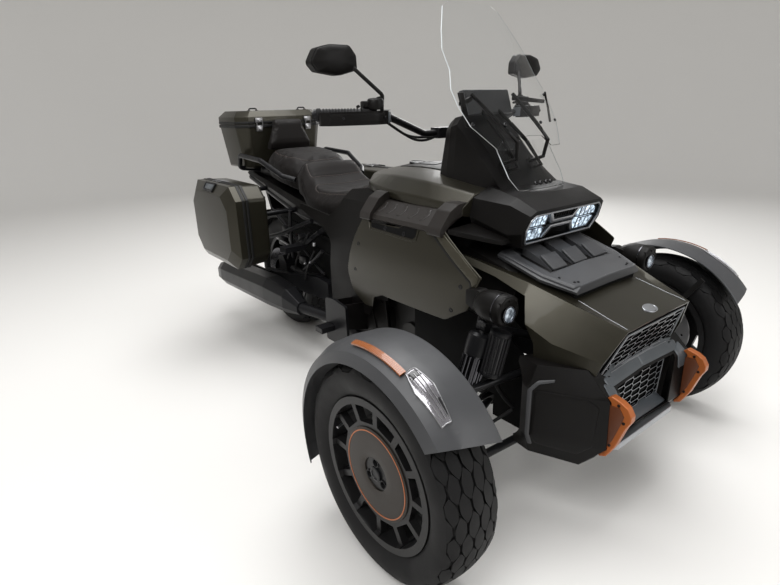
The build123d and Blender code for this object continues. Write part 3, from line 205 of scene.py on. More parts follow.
def make_finishes(s):
    """Every finish of the object, from the colours that a user may change."""
    body, plastic, grey = tuple(s.body_color), tuple(s.plastic_color), tuple(s.fender_color)
    finish("body_paint", body, 0.32, metal=0.6, coat=0.1, spread=0.06, grain=1500, depth=0.00001, patch=5,
           gloss=0.4)
    finish("black_plastic", plastic, 0.42, spread=0.18, grain=1100, depth=0.00005, gloss=0.15)
    finish("gloss_black", (0.008, 0.008, 0.009), 0.18, coat=0.3, spread=0.05, grain=1500, depth=0.00001)
    finish("grey_plastic", grey, 0.42, spread=0.1, grain=1200, depth=0.00005)
    finish("scoop_plastic", shade(grey, 1.15), 0.44, spread=0.1, grain=1200, depth=0.00005)
    finish("board_plastic", (0.017, 0.0145, 0.013), 0.38, grain=1100, depth=0.00005, gloss=0.35)
    finish("signal_lens", (0.30, 0.29, 0.31), 0.14, metal=0.75, coat=0.5, spread=0.3, grain=260, depth=0.0004)
    # the body paint made lighter: painted highlight on the flank strips
    finish("strip_paint_highlight", shade(body, 1.8), 0.34, metal=0.6, coat=0.1, spread=0.06, grain=1500, depth=0.00001,
           patch=5)
    # the accent colour darkened: painted shade on the bumper guards' inner webs
    finish("accent_painted_shade", (0.085, 0.023, 0.006), 0.45, metal=0.1, spread=0.1, grain=1200, depth=0.00003)
    finish("red_ring", (0.30, 0.008, 0.012), 0.35)
    # pale blue-grey: its blue tint is a painted reflection of the sky, on the mouth band, horns and sill,
    # latch paddles and guard tips
    finish("pale_grey_painted_reflection", (0.080, 0.090, 0.100), 0.34, metal=0.15, spread=0.1, grain=1200, depth=0.00003)
    finish("black_metal", (0.008, 0.008, 0.009), 0.36, metal=0.2, coat=0.05, spread=0.15, depth=0.00005,
           gloss=0.22)
    finish("cast_alloy", (0.016, 0.0155, 0.015), 0.42, metal=0.5, spread=0.2, grain=500, depth=0.00012)
    finish("case_rubber", (0.006, 0.006, 0.006), 0.5, spread=0.1, gloss=0.3)
    # the piping's colour made much lighter than the cover: a painted highlight along it
    finish("seat_piping_highlight", (0.05, 0.040, 0.036), 0.5, spread=0.1, gloss=0.3)
    finish("machined_steel", (0.36, 0.36, 0.37), 0.32, metal=1.0, spread=0.1, depth=0.00003)
    finish("rim_paint", (0.0095, 0.0092, 0.0095), 0.42, metal=0.2, coat=0.05, spread=0.1, grain=1200,
           depth=0.00003, gloss=0.3)
    finish("rim_centre", (0.025, 0.020, 0.016), 0.42, metal=0.6, spread=0.1, grain=1200, depth=0.00003)
    finish("rubber", (0.0062, 0.0060, 0.0063), 0.62, spread=0.25, grain=700, depth=0.0001, gloss=0.22)
    finish("accent_paint", tuple(s.accent_color), 0.36, metal=0.25, coat=0.1, spread=0.1, grain=1200,
           depth=0.00002)
    finish("silver_paint", (0.36, 0.37, 0.39), 0.32, metal=0.85, spread=0.08, grain=1200, depth=0.00002)
    # grey trim, also drawn as thin lines along creases for painted edge highlights
    finish("grey_trim_edge_highlight", (0.30, 0.31, 0.33), 0.35, metal=0.6, spread=0.08, grain=1200, depth=0.00002)
    finish("dark_chrome", (0.10, 0.10, 0.11), 0.2, metal=1.0, spread=0.08, grain=1200, depth=0.00002)
    # near-black for dark sheets that stand in for shade: behind the grilles, in the scoop's gap, in the flank
    # slots and inside the body
    finish("painted_shade_black", (0.004, 0.004, 0.004), 0.8, spread=0.1, grain=600, depth=0.00005, gloss=0.1)
    finish("spring_black", (0.012, 0.012, 0.013), 0.28, metal=0.2, coat=0.4, spread=0.1, grain=1200,
           depth=0.00002)
    make_leather("seat_leather", tuple(s.seat_color))
    make_clear("clear_screen", (0.985, 0.99, 0.99))
    finish("screen_edge", (0.62, 0.66, 0.68), 0.15, coat=0.3, spread=0.05, depth=0.00001)
    make_lens("amber_lens", (0.24, 0.060, 0.002))
    make_lens("red_lens", (0.35, 0.008, 0.006))
    make_lamp("lamp_glow", 1.6)
    make_lamp("lamp_glow_soft", 0.3)
    shader("mirror_glass", (0.75, 0.77, 0.8), 0.04, 1.0)


def make_lamp(name, strength):
    """Cut-glass lamp face: bright facets between darker joints, lit from inside."""
    tree, principled, place = shader(name, (0.75, 0.82, 0.9), 0.12, 0.7, 0.6)
    facets = tree.nodes.new("ShaderNodeTexVoronoi")
    facets.inputs["Scale"].default_value = 85
    tree.links.new(place, facets.inputs["Vector"])
    light = ranged(tree, facets.outputs["Distance"], 1, 0.1, 0.1, 0.75)
    tree.links.new(mixed(tree, light, (0.16, 0.19, 0.24), (0.86, 0.93, 1.0)), principled.inputs["Base Color"])
    tree.links.new(mixed(tree, light, (0.02, 0.03, 0.05), (0.70, 0.86, 1.0)),
                   principled.inputs["Emission Color"])
    principled.inputs["Emission Strength"].default_value = strength
    bump(tree, principled, facets.outputs["Distance"], 0.5, 0.001)


def make_leather(name, color):
    """Matte coated seat cloth: fine pebble grain and slightly worn highs."""
    tree, principled, place = shader(name, color, 0.6)
    cells = tree.nodes.new("ShaderNodeTexVoronoi")
    cells.inputs["Scale"].default_value = 420
    tree.links.new(place, cells.inputs["Vector"])
    patches = noise_socket(tree, place, 9, 5)
    tree.links.new(mixed(tree, ranged(tree, patches, 0, 1), shade(color, 0.82), shade(color, 1.22)),
                   principled.inputs["Base Color"])
    tree.links.new(ranged(tree, patches, 0.52, 0.68), principled.inputs["Roughness"])
    bump(tree, principled, cells.outputs["Distance"], 0.5, 0.00035)
    principled.inputs["Sheen Weight"].default_value = 0.02
    principled.inputs["Specular IOR Level"].default_value = 0.2


def make_clear(name, tint):
    """Thin clear moulding: see-through, with a polished face."""
    mat = bpy.data.materials.new(name)
    mat.use_nodes = True
    principled = mat.node_tree.nodes["Principled BSDF"]
    principled.inputs["Base Color"].default_value = (*tint, 1)
    principled.inputs["Roughness"].default_value = 0.0
    principled.inputs["Transmission Weight"].default_value = 1.0
    principled.inputs["IOR"].default_value = 1.18
    FINISHES[name] = mat


def make_lens(name, color):
    """Coloured lens with fine flutes."""
    tree, principled, place = shader(name, color, 0.2, coat=0.6)
    flutes = tree.nodes.new("ShaderNodeTexWave")
    flutes.inputs["Scale"].default_value = 60
    flutes.bands_direction = "Y"
    tree.links.new(place, flutes.inputs["Vector"])
    tree.links.new(mixed(tree, flutes.outputs["Fac"], shade(color, 0.6), shade(color, 1.25)),
                   principled.inputs["Base Color"])
    bump(tree, principled, flutes.outputs["Fac"], 0.4, 0.0006)
    principled.inputs["Emission Color"].default_value = (*color, 1)
    principled.inputs["Emission Strength"].default_value = 0.05


# Mesh helpers
def settle(bm, name, material, body="chassis", smooth=35):
    """Writes a bmesh as a finished piece that rides on a body; its edges stay sharp past the smooth angle."""
    mesh = bpy.data.meshes.new(name)
    bm.to_mesh(mesh)
    bm.free()
    obj = bpy.data.objects.new(name, mesh)
    bpy.context.scene.collection.objects.link(obj)
    mesh.materials.append(FINISHES[material])
    if smooth:
        mesh.shade_smooth()
        mesh.set_sharp_from_angle(angle=radians(smooth))
    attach(obj, body)
    return obj


@contextmanager
def piece(name, material, body="chassis", slot_name=None, smooth=35, mirrored=False):
    """Gives an empty bmesh to fill and settles it after, with its mirror image where asked."""
    bm = bmesh.new()
    yield bm
    if mirrored:
        mirror_copy(bm)
    settle(bm, name, material, body, smooth)


def merged(node):
    """A bmesh copy of a rigid node with its loose triangles joined and flat faces dissolved."""
    bm = bmesh.new()
    bm.from_mesh(NODES[node].data)
    bmesh.ops.remove_doubles(bm, verts=bm.verts, dist=0.00002)
    bmesh.ops.dissolve_limit(bm, angle_limit=radians(0.6), verts=bm.verts, edges=bm.edges)
    return bm


def soften(obj, width, segments=3):
    """Rounds the hard edges of a piece."""
    mod = obj.modifiers.new("Edges", "BEVEL")
    mod.width = width * MM
    mod.segments = segments
    mod.limit_method = "ANGLE"
    mod.angle_limit = radians(24)
    mod.harden_normals = True
    mod.miter_outer = "MITER_ARC"
    weighted = obj.modifiers.new("Normals", "WEIGHTED_NORMAL")
    weighted.keep_sharp = True


def body_of(node):
    """The moving body that a rigid node belongs to."""
    for body, members in frame["record"]["behaviour"]["bodies"].items():
        if node in members:
            return body
    raise ValueError(node)


def dressed(node, material, width=2.0, segments=3):
    """The node's own form with rounded edges and its finish, in the node's place."""
    obj = settle(merged(node), node + "_skin", material, body_of(node), 40)
    soften(obj, width, segments)
    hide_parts(node)


def painted(node, material):
    """Gives a rigid node its finish."""
    obj = NODES[node]
    obj.data.materials.clear()
    obj.data.materials.append(FINISHES[material])


def join(bm, part):
    """Moves one bmesh into another."""
    mesh = bpy.data.meshes.new("part")
    part.to_mesh(mesh)
    part.free()
    bm.from_mesh(mesh)
    bpy.data.meshes.remove(mesh)


def add_pipe(bm, points, radius, sides=10, smooth=False):
    """Adds a round bar along points, from a bevelled curve."""
    curve = bpy.data.curves.new("bar", "CURVE")
    curve.dimensions = "3D"
    curve.bevel_depth = radius
    curve.bevel_resolution = max(sides // 2 - 2, 0)
    curve.use_fill_caps = True
    spline = curve.splines.new("NURBS" if smooth else "POLY")
    spline.points.add(len(points) - 1)
    for point, place in zip(spline.points, points):
        point.co = (*place, 1)
    if smooth:
        spline.order_u = 3
        spline.use_endpoint_u = True
        spline.resolution_u = 5
    bar = bpy.data.objects.new("bar", curve)
    mesh = bpy.data.meshes.new_from_object(bar)
    bpy.data.objects.remove(bar)
    part = bmesh.new()
    part.from_mesh(mesh)
    bmesh.ops.remove_doubles(part, verts=part.verts, dist=0.000005)
    bmesh.ops.recalc_face_normals(part, faces=part.faces)
    join(bm, part)


def frame_of(centre, axis):
    """A matrix whose Z runs along the axis, at the centre."""
    z = Vector(axis).normalized()
    x = Vector((0, 0, 1)).cross(z)
    x = Vector((1, 0, 0)) if x.length < 0.01 else x.normalized()
    return Matrix.Translation(Vector(centre)) @ Matrix((x, z.cross(x), z)).transposed().to_4x4()


def add_turned(bm, profile, centre, axis, steps=32):
    """Adds a turned piece: profile is (distance along the axis, radius) in millimetres."""
    place = frame_of(centre, axis)
    part = bmesh.new()
    verts = [part.verts.new(place @ Vector((r * MM, 0, h * MM))) for h, r in profile]
    edges = [part.edges.new(pair) for pair in zip(verts, verts[1:])]
    bmesh.ops.spin(part, geom=verts + edges, cent=centre, axis=Vector(axis).normalized(), angle=2 * pi,
                   steps=steps, use_merge=True, use_duplicate=False)
    bmesh.ops.remove_doubles(part, verts=part.verts, dist=0.000005)
    bmesh.ops.recalc_face_normals(part, faces=part.faces)
    join(bm, part)


def add_bolt(bm, centre, axis, radius=4.0, height=3.0):
    """Adds a round socket screw head, sunk a little at its foot."""
    head = [(-2, 0), (-2, radius), (height * 0.65, radius), (height, radius * 0.82), (height, radius * 0.5),
            (height * 0.35, radius * 0.45), (height * 0.35, 0)]
    add_turned(bm, head, centre, axis, 14)


def add_prism(bm, points, direction, bevel=0.0, segments=2):
    """Adds a prism: a flat outline of places pushed along a direction, with rounded edges if bevel is set."""
    part = bmesh.new()
    face = part.faces.new([part.verts.new(p) for p in points])
    made = bmesh.ops.extrude_face_region(part, geom=[face])["geom"]
    moved = [g for g in made if isinstance(g, bmesh.types.BMVert)]
    bmesh.ops.translate(part, vec=Vector(direction), verts=moved)
    bmesh.ops.recalc_face_normals(part, faces=part.faces)
    if bevel:
        bmesh.ops.bevel(part, geom=part.edges[:], offset=bevel * MM, segments=segments, profile=0.5,
                        affect="EDGES", material=-1, clamp_overlap=True)
    join(bm, part)


def side_points(points, x):
    """Places of (distance, height) points on a plane across X, in millimetres."""
    return [at(x, d, z) for d, z in points]


def add_box(bm, x0, x1, d0, d1, z0, z1, bevel):
    """Adds a box with rounded edges in millimetres: x, distance behind the front axle, height."""
    add_prism(bm, [at(x0, d0, z0), at(x0, d1, z0), at(x0, d1, z1), at(x0, d0, z1)], ((x1 - x0) * MM, 0, 0),
              bevel)


def mirror_copy(bm):
    """Adds the mirror image across the middle plane."""
    made = bmesh.ops.duplicate(bm, geom=bm.verts[:] + bm.edges[:] + bm.faces[:])["geom"]
    bmesh.ops.scale(bm, vec=(-1, 1, 1), verts=[g for g in made if isinstance(g, bmesh.types.BMVert)])
    bmesh.ops.reverse_faces(bm, faces=[g for g in made if isinstance(g, bmesh.types.BMFace)])


def rounded(points, radius, steps=4):
    """A flat outline with rounded corners; radius is one number or one for each corner."""
    radii = radius if isinstance(radius, (list, tuple)) else [radius] * len(points)
    out = []
    for i, r in enumerate(radii):
        a, b, c = Vector(points[i - 1]), Vector(points[i]), Vector(points[(i + 1) % len(points)])
        back, ahead = (a - b), (c - b)
        cut = min(r / max(tan(back.angle(ahead) / 2), 0.01), back.length * 0.48, ahead.length * 0.48)
        if r <= 0 or cut < 0.01:
            out.append(tuple(b))
            continue
        start, end = b + back.normalized() * cut, b + ahead.normalized() * cut
        for k in range(steps + 1):
            t = k / steps
            out.append(tuple(start * (1 - t) ** 2 + b * 2 * t * (1 - t) + end * t ** 2))
    return out


class Skin:
    """Finds places on rigid nodes by casting lines at them."""

    def __init__(self, *nodes):
        self.trees = []
        for node in nodes:
            bm = bmesh.new()
            bm.from_mesh(NODES[node].data)
            self.trees.append(BVHTree.FromBMesh(bm))
            bm.free()

    def hit(self, start, direction):
        """The first place on a line and the surface's normal there, or None."""
        best = None
        for tree in self.trees:
            spot, normal, _, distance = tree.ray_cast(Vector(start), Vector(direction).normalized())
            if spot is not None and (best is None or distance < best[2]):
                best = (spot, normal, distance)
        return None if best is None else best[:2]


# Where a flat point starts, which way it is cast and the two axes that it lies along
VIEWS = {
    "x": (lambda u, v: at(1500, u, v), Vector((-1, 0, 0)), (1, 2)),
    "y": (lambda u, v: at(u, -1500, v), Vector((0, 1, 0)), (0, 2)),
    "z": (lambda u, v: at(u, v, 2500), Vector((0, 0, -1)), (0, 1)),
}
# How far a draped piece is sunk in, in millimetres, and the tries and steps by which a place moves in
DRAPE_SUNK = 3.0
DRAPE_TRIES, DRAPE_STEP = 16, 0.03


def drape(bm, skin, outline, view, lift, cell, edge):
    """Adds a thin raised piece that lies on a surface.

    The outline is flat, in millimetres: view x takes (distance, height) seen from the left, y (x, height)
    from ahead and z (x, distance) from above. It is divided into cells before it is laid down. A place that
    misses the surface moves in toward the middle until it meets it.
    """
    place, toward, across = VIEWS[view]
    part = bmesh.new()
    part.faces.new([part.verts.new(place(u, v)) for u, v in outline])
    for axis in across:
        values = [v.co[axis] for v in part.verts]
        low, high = min(values), max(values)
        cuts = int((high - low) / (cell * MM))
        for k in range(1, cuts + 1):
            normal, spot = Vector((0, 0, 0)), Vector((0, 0, 0))
            normal[axis] = 1
            spot[axis] = low + (high - low) * k / (cuts + 1)
            bmesh.ops.bisect_plane(part, geom=part.verts[:] + part.edges[:] + part.faces[:], plane_co=spot,
                                   plane_no=normal)
    middle = sum((v.co for v in part.verts), Vector()) / len(part.verts)
    for vert in part.verts:
        found = None
        for step in range(DRAPE_TRIES):
            found = found or skin.hit(vert.co.lerp(middle, step * DRAPE_STEP), toward)
        if found is None:
            raise ValueError(f"nothing under {tuple(round(c, 3) for c in vert.co)}")
        vert.co = found[0] - toward * lift * MM
    made = bmesh.ops.extrude_face_region(part, geom=part.faces[:])["geom"]
    top = [g for g in made if isinstance(g, bmesh.types.BMVert)]
    lifted = set(top)
    bmesh.ops.translate(part, vec=toward * (lift + DRAPE_SUNK) * MM,
                        verts=[v for v in part.verts if v not in lifted])
    bmesh.ops.recalc_face_normals(part, faces=part.faces[:])
    if edge:
        rim = [e for e in part.edges if len(e.link_faces) == 2 and e.calc_face_angle(0) > radians(50)
               and e.verts[0] in lifted and e.verts[1] in lifted]
        bmesh.ops.bevel(part, geom=rim, offset=edge * MM, segments=2, profile=0.5, affect="EDGES",
                        material=-1)
    join(bm, part)


def draped(name, skin, outline, view, lift, material, cell, edge, mirrored=True):
    """One piece on the chassis made of a draped outline."""
    with piece(name, material, mirrored=mirrored) as bm:
        drape(bm, skin, outline, view, lift, cell, edge)


def surface_line(skin, points, view, lift, step=8):
    """Places along a flat line, laid on a surface."""
    place, toward, _ = VIEWS[view]
    spots = []
    for a, b in zip(points, points[1:]):
        run = max(int(hypot(b[0] - a[0], b[1] - a[1]) / step), 1)
        for k in range(run + (b == points[-1])):
            hit = skin.hit(place(a[0] + (b[0] - a[0]) * k / run, a[1] + (b[1] - a[1]) * k / run), toward)
            if hit:
                spots.append(hit[0] - toward * lift * MM)
    return spots


# Wheels: a tread block's half length, half width and lean in steps of the net, the gap between blocks in
# millimetres, and how much wider a block is at its foot
BLOCK_LONG, BLOCK_WIDE, BLOCK_LEAN = 1.43, 0.71, 0.16
BLOCK_GAP = 3.1
BLOCK_FOOT = 1.07


def arc_points(a, b, c, steps):
    """Points on the circle through three (x, radius) points, from a to c."""
    (ax, ay), (bx, by), (cx, cy) = a, b, c
    d = 2 * (ax * (by - cy) + bx * (cy - ay) + cx * (ay - by))
    ux = ((ax ** 2 + ay ** 2) * (by - cy) + (bx ** 2 + by ** 2) * (cy - ay)
          + (cx ** 2 + cy ** 2) * (ay - by)) / d
    uy = ((ax ** 2 + ay ** 2) * (cx - bx) + (bx ** 2 + by ** 2) * (ax - cx)
          + (cx ** 2 + cy ** 2) * (bx - ax)) / d
    start, end = atan2(ay - uy, ax - ux), atan2(cy - uy, cx - ux)
    sweep = (end - start + pi) % (2 * pi) - pi
    r = hypot(ax - ux, ay - uy)
    return [(ux + r * cos(start + sweep * i / steps), uy + r * sin(start + sweep * i / steps))
            for i in range(steps + 1)]


class TyreSurface:
    """Places on a tyre by length across from the crown, in millimetres, and angle round the axle."""

    def __init__(self, centre, size):
        radius, width = size["radius"], size["width"]
        shoulder = (width / 2 * 0.80, radius - width * 0.055)
        side = (width / 2, (RIM_FLANGE_R + radius) / 2 - 6)
        self.bead_x = size["rim_width"] / 2 - 2
        crown = arc_points((-shoulder[0], shoulder[1]), (0, radius), shoulder, 24)[12:]
        self.points = crown + arc_points(shoulder, side, (self.bead_x, RIM_FLANGE_R), 14)[1:]
        self.centre = Vector(centre)
        self.marks = [0]
        for a, b in zip(self.points, self.points[1:]):
            self.marks.append(self.marks[-1] + hypot(b[0] - a[0], b[1] - a[1]))

    def place(self, across, angle, lift=0.0):
        """A place on the tyre, or lifted off it by some millimetres."""
        run = min(abs(across), self.marks[-1] - 0.01)
        i = max(k for k, mark in enumerate(self.marks[:-1]) if mark <= run)
        t = (run - self.marks[i]) / (self.marks[i + 1] - self.marks[i])
        (x0, r0), (x1, r1) = self.points[i], self.points[i + 1]
        length = hypot(x1 - x0, r1 - r0)
        x = x0 + (x1 - x0) * t + (r0 - r1) / length * lift
        r = r0 + (r1 - r0) * t + (x1 - x0) / length * lift
        return self.centre + Vector((x if across >= 0 else -x, r * sin(angle), r * cos(angle))) * MM


def tread_block(bm, surface, corners, groove, limits):
    """One block of tread between four (length across, angle) corners; its sides lean out to its foot."""
    made = bmesh.ops.create_grid(bm, x_segments=3, y_segments=3, size=0.5)["verts"]
    a, b, c, e = corners
    spots = {}
    for vert in made:
        s, t = vert.co.x + 0.5, vert.co.y + 0.5
        spots[vert] = [(a[k] * (1 - s) + b[k] * s) * (1 - t) + (e[k] * (1 - s) + c[k] * s) * t
                       for k in (0, 1)]
        spots[vert][0] = min(max(spots[vert][0], limits[0]), limits[1])
        vert.co = surface.place(*spots[vert])
    faces = list({f for v in made for f in v.link_faces})
    rim = [e for e in {e for f in faces for e in f.edges} if len(e.link_faces) == 1]
    pushed = bmesh.ops.extrude_edge_only(bm, edges=rim)["geom"]
    middle = [sum(corner[k] for corner in corners) / 4 for k in (0, 1)]
    by_place = {tuple(round(c, 6) for c in vert.co): spot for vert, spot in spots.items()}
    for vert in [g for g in pushed if isinstance(g, bmesh.types.BMVert)]:
        spot = by_place[tuple(round(c, 6) for c in vert.co)]
        vert.co = surface.place(*[middle[k] + (spot[k] - middle[k]) * BLOCK_FOOT for k in (0, 1)], -groove)


def tread_rows(surface, span, pitches, groove, columns):
    """All the blocks of one pitch, repeated round the tyre by a spin."""
    bm = bmesh.new()
    step_u, step_v = span / columns, pi / pitches
    for j in (0, 1):
        for i in range(-columns, columns + 1):
            if (i + j) % 2:
                continue
            u, v = i * step_u, j * step_v
            lean = BLOCK_LEAN * step_v * (1 if i % 2 else -1)
            long, wide = BLOCK_LONG * step_u, BLOCK_WIDE * step_v
            corners = [(u - long, v - lean), (u, v - wide), (u + long, v + lean), (u, v + wide)]
            half = step_u - BLOCK_GAP
            tread_block(bm, surface, corners, groove, (max(u - half, -span), min(u + half, span)))
    bmesh.ops.recalc_face_normals(bm, faces=bm.faces)
    bmesh.ops.spin(bm, geom=bm.verts[:] + bm.edges[:] + bm.faces[:], cent=surface.centre, axis=(1, 0, 0),
                   angle=2 * pi * (pitches - 1) / pitches, steps=pitches - 1, use_duplicate=True)
    return bm


def make_tyre(name, node, body, centre, size, pitches, groove):
    """A tyre: a carcass turned at the depth of the grooves, and blocks in a net of diamonds on it."""
    surface, span = TyreSurface(centre, size), size["tread"]
    part = bmesh.new()
    marks = [surface.marks[-1] * k / 40 for k in range(41)]
    ring = []
    for run in [-m for m in marks[:0:-1]] + marks:
        shelf = min(max((span - 1 - abs(run)) / 4, 0), 1)
        ring.append(surface.place(run, 0, -groove * shelf))
    heel = [surface.centre + Vector((x, 0, HEEL_R)) * MM for x in (-surface.bead_x, surface.bead_x)]
    verts = [part.verts.new(p) for p in [heel[0], *ring, heel[1]]]
    edges = [part.edges.new(pair) for pair in zip(verts, verts[1:])]
    bmesh.ops.spin(part, geom=verts + edges, cent=surface.centre, axis=(1, 0, 0), angle=2 * pi, steps=160,
                   use_merge=True, use_duplicate=False)
    bmesh.ops.remove_doubles(part, verts=part.verts, dist=0.00001)
    bmesh.ops.recalc_face_normals(part, faces=part.faces)
    if sum(f.normal.dot(f.calc_center_median() - surface.centre) for f in part.faces) < 0:
        bmesh.ops.reverse_faces(part, faces=part.faces)
    bm = tread_rows(surface, span, pitches, groove, size["columns"])
    join(bm, part)
    obj = settle(bm, name, "rubber", body, 28)
    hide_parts(node)


def wheel_face(side):
    """Centre plate with its stripe, hub cap, bosses and valve on one front wheel."""
    name = "left" if side > 0 else "right"
    body = "wheel_front_" + name
    centre = Vector((side * WHEEL_X, FRONT_AXLE_Y, FRONT_TYRE_R))
    axis = (side, 0, 0)
    with piece("wheel_plate_" + name, "rim_centre", body) as bm:
        add_turned(bm, [(58, 44), (62.6, 45), (63.6, 48), (64, 70), (63.8, 104), (63.2, 122), (62.2, 125.4),
                        (58, 126)], centre, axis, 96)
    with piece("wheel_stripe_" + name, "accent_paint", body) as bm:
        add_turned(bm, [(62, 115.4), (64.3, 115.6), (64.3, 118.6), (62, 118.9)], centre, axis, 128)
    with piece("wheel_hub_" + name, "black_metal", body) as bm:
        for k in range(3):
            turn = radians(120 * k + 90)
            spot = centre + Vector((side * 59, 33 * cos(turn), 33 * sin(turn))) * MM
            add_turned(bm, [(-3, 9), (2.6, 9.3), (3.4, 10.2), (3.6, 11.8), (3.0, 12.8), (-3, 13.2)], spot,
                       axis, 24)
        add_turned(bm, [(58, 20.6), (64.4, 20.2), (65.4, 18.6), (65.4, 13.2), (63.6, 12.2), (63.6, 0)],
                   centre, axis, 40)
    with piece("wheel_valve_" + name, "machined_steel", body) as bm:
        turn = radians(21)
        spot = centre + Vector((side * 44, 176 * cos(turn), 176 * sin(turn))) * MM
        add_pipe(bm, [spot, spot + Vector((side * 0.026, -0.006, -0.003))], 0.0034)


class ROADSTER_OT_wheels(bpy.types.Operator):
    """Build the treaded tyres and the detail of the wheels"""
    bl_idname = "roadster.wheels"
    bl_label = "Wheels"

    def execute(self, context):
        s = context.scene.roadster_wheels
        groove = s.groove / MM
        for side, name in ((1, "left"), (-1, "right")):
            centre = (side * WHEEL_X, FRONT_AXLE_Y, FRONT_TYRE_R)
            make_tyre("tyre_skin_" + name, "front_tyre_" + name, "wheel_front_" + name, centre, FRONT_TYRE,
                      s.pitches, groove)
            wheel_face(side)
            dressed("front_rim_" + name, "rim_paint", 1.6)
            dressed("brake_disc_" + name, "machined_steel", 0.5, 2)
            dressed("knuckle_" + name, "cast_alloy", 1.5)
        make_tyre("tyre_skin_rear", "rear_tyre", "wheel_rear", (0, REAR_AXLE_Y, REAR_TYRE_R), REAR_TYRE,
                  s.pitches + 2, groove)
        dressed("rear_rim", "rim_paint", 1.6)
        dressed("rear_sprocket_and_disc", "dark_chrome", 0.8, 2)
        return {"FINISHED"}


# Seats: size of the cover's grid and how far it may swell, both in metres
VOXEL = 0.006
SWELL = 0.006
PRESSURE = 3.0
CLOTH_FRAMES = 20


def bake_modifiers(obj):
    """Turns an object's modifiers into its mesh."""
    graph = bpy.context.evaluated_depsgraph_get()
    graph.update()
    mesh = bpy.data.meshes.new_from_object(obj.evaluated_get(graph))
    obj.modifiers.clear()
    obj.data = mesh


def padded_seat(node, seams):
    """A stuffed seat: the rigid seat's form with its cover pressed out and drawn in along its seams."""
    obj = settle(merged(node), node + "_pad", "seat_leather", "chassis", 60)
    remesh = obj.modifiers.new("Grid", "REMESH")
    remesh.mode = "VOXEL"
    remesh.voxel_size = VOXEL
    remesh.use_smooth_shade = True
    smooth = obj.modifiers.new("Ease", "SMOOTH")
    smooth.iterations = 6
    smooth.factor = 0.5
    bake_modifiers(obj)
    before = [v.co.copy() for v in obj.data.vertices]
    cloth = obj.modifiers.new("Cover", "CLOTH")
    cloth.settings.use_pressure = True
    cloth.settings.uniform_pressure_force = PRESSURE
    cloth.settings.effector_weights.gravity = 0
    cloth.point_cache.frame_start = 1
    cloth.point_cache.frame_end = CLOTH_FRAMES
    for step in range(1, CLOTH_FRAMES + 1):
        bpy.context.scene.frame_set(step)
    bake_modifiers(obj)
    bpy.context.scene.frame_set(1)
    low = min(p.z for p in before)
    for vert, start in zip(obj.data.vertices, before):
        move = vert.co - start
        free = min(max((start.z - low - 0.012) / 0.04, 0), 1)
        vert.co = start + move * min(1, SWELL * free / max(move.length, 0.000001))
    normals = [n.vector.copy() for n in obj.data.vertex_normals]
    moved = [sum((press(vert.co, normal) for press in seams), vert.co.copy())
             for vert, normal in zip(obj.data.vertices, normals)]
    obj.data.vertices.foreach_set("co", [c for place in moved for c in place])
    obj.data.update()
    subdivide = obj.modifiers.new("Fine", "SUBSURF")
    subdivide.levels = subdivide.render_levels = 1
    obj.data.shade_smooth()
    obj.data.materials.clear()
    obj.data.materials.append(FINISHES["seat_leather"])
    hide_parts(node)
    return obj


def flat_line(points):
    """Points every few millimetres along a closed, rounded line of (x, distance) corners."""
    corners = rounded(points, 26, 6)
    corners.append(corners[0])
    out = []
    for a, b in zip(corners, corners[1:]):
        run = max(int(hypot(b[0] - a[0], b[1] - a[1]) / 9), 1)
        out += [(a[0] + (b[0] - a[0]) * k / run, a[1] + (b[1] - a[1]) * k / run) for k in range(run)]
    return out + [corners[-1]]


# How deep a seam draws the cover in, and how far to each side, in millimetres
SEAM_DEPTH = 2.2
SEAM_WIDTH = 7.0


def seam_press(line):
    """Draws a seat's cover in along a seam: returns the move of a place on the cover."""
    tree = KDTree(len(line))
    for i, (x, d) in enumerate(line):
        tree.insert((x * MM, aft(d), 0), i)
    tree.balance()

    def press(place, normal):
        if normal.z < 0.15:
            return Vector((0, 0, 0))
        away = tree.find((place.x, place.y, 0))[2] / MM
        return -normal * SEAM_DEPTH * MM * max(0, 1 - (away / SEAM_WIDTH) ** 2) ** 2
    return press


# Node, fill and the seams as corners of (x, distance), each closed
SEATS = [
    ("rider_seat", 0.85, [
        [(92, 902), (142, 985), (160, 1090), (166, 1180), (160, 1226), (-160, 1226), (-166, 1180),
         (-160, 1090), (-142, 985), (-92, 902)],
        [(142, 1272), (138, 1318), (116, 1364), (-116, 1364), (-138, 1318), (-142, 1272)]]),
    ("passenger_seat", 0.85, [
        [(96, 1418), (134, 1470), (140, 1560), (136, 1632), (104, 1690), (-104, 1690), (-136, 1632),
         (-140, 1560), (-134, 1470), (-96, 1418)]]),
    ("backrest", 0.9, []),
]


class ROADSTER_OT_seats(bpy.types.Operator):
    """Stuff the seats and the backrest and lay the seats' piping"""
    bl_idname = "roadster.seats"
    bl_label = "Seats"

    def execute(self, context):
        for node, fill, lines in SEATS:
            drawn = [flat_line(points) for points in lines]
            pad = padded_seat(node, [seam_press(line) for line in drawn])
            if drawn:
                self.pipe(node, pad, drawn)
        return {"FINISHED"}

    def pipe(self, node, pad, lines):
        """Lays a thin piping over a seat's seams."""
        bm = bmesh.new()
        bm.from_object(pad, bpy.context.evaluated_depsgraph_get())
        tree = BVHTree.FromBMesh(bm)
        bm.free()
        # the light piping stands in for the highlight along the seams
        with piece(node + "_piping", "seat_piping_highlight", "chassis", "seat_leather") as bm:
            for line in lines:
                spots = []
                for x, d in line:
                    found = tree.ray_cast(at(x, d, 1400), Vector((0, 0, -1)))
                    if found[0] is not None:
                        spots.append(found[0] + found[1] * 0.0005)
                add_pipe(bm, spots, 0.0016, 8)


# Front
HEX_FLAT, HEX_HALF, HEX_HIGH = 19.0, 27.0, 9.6
NET_RIB = 1.1
NET_DEEP = 6


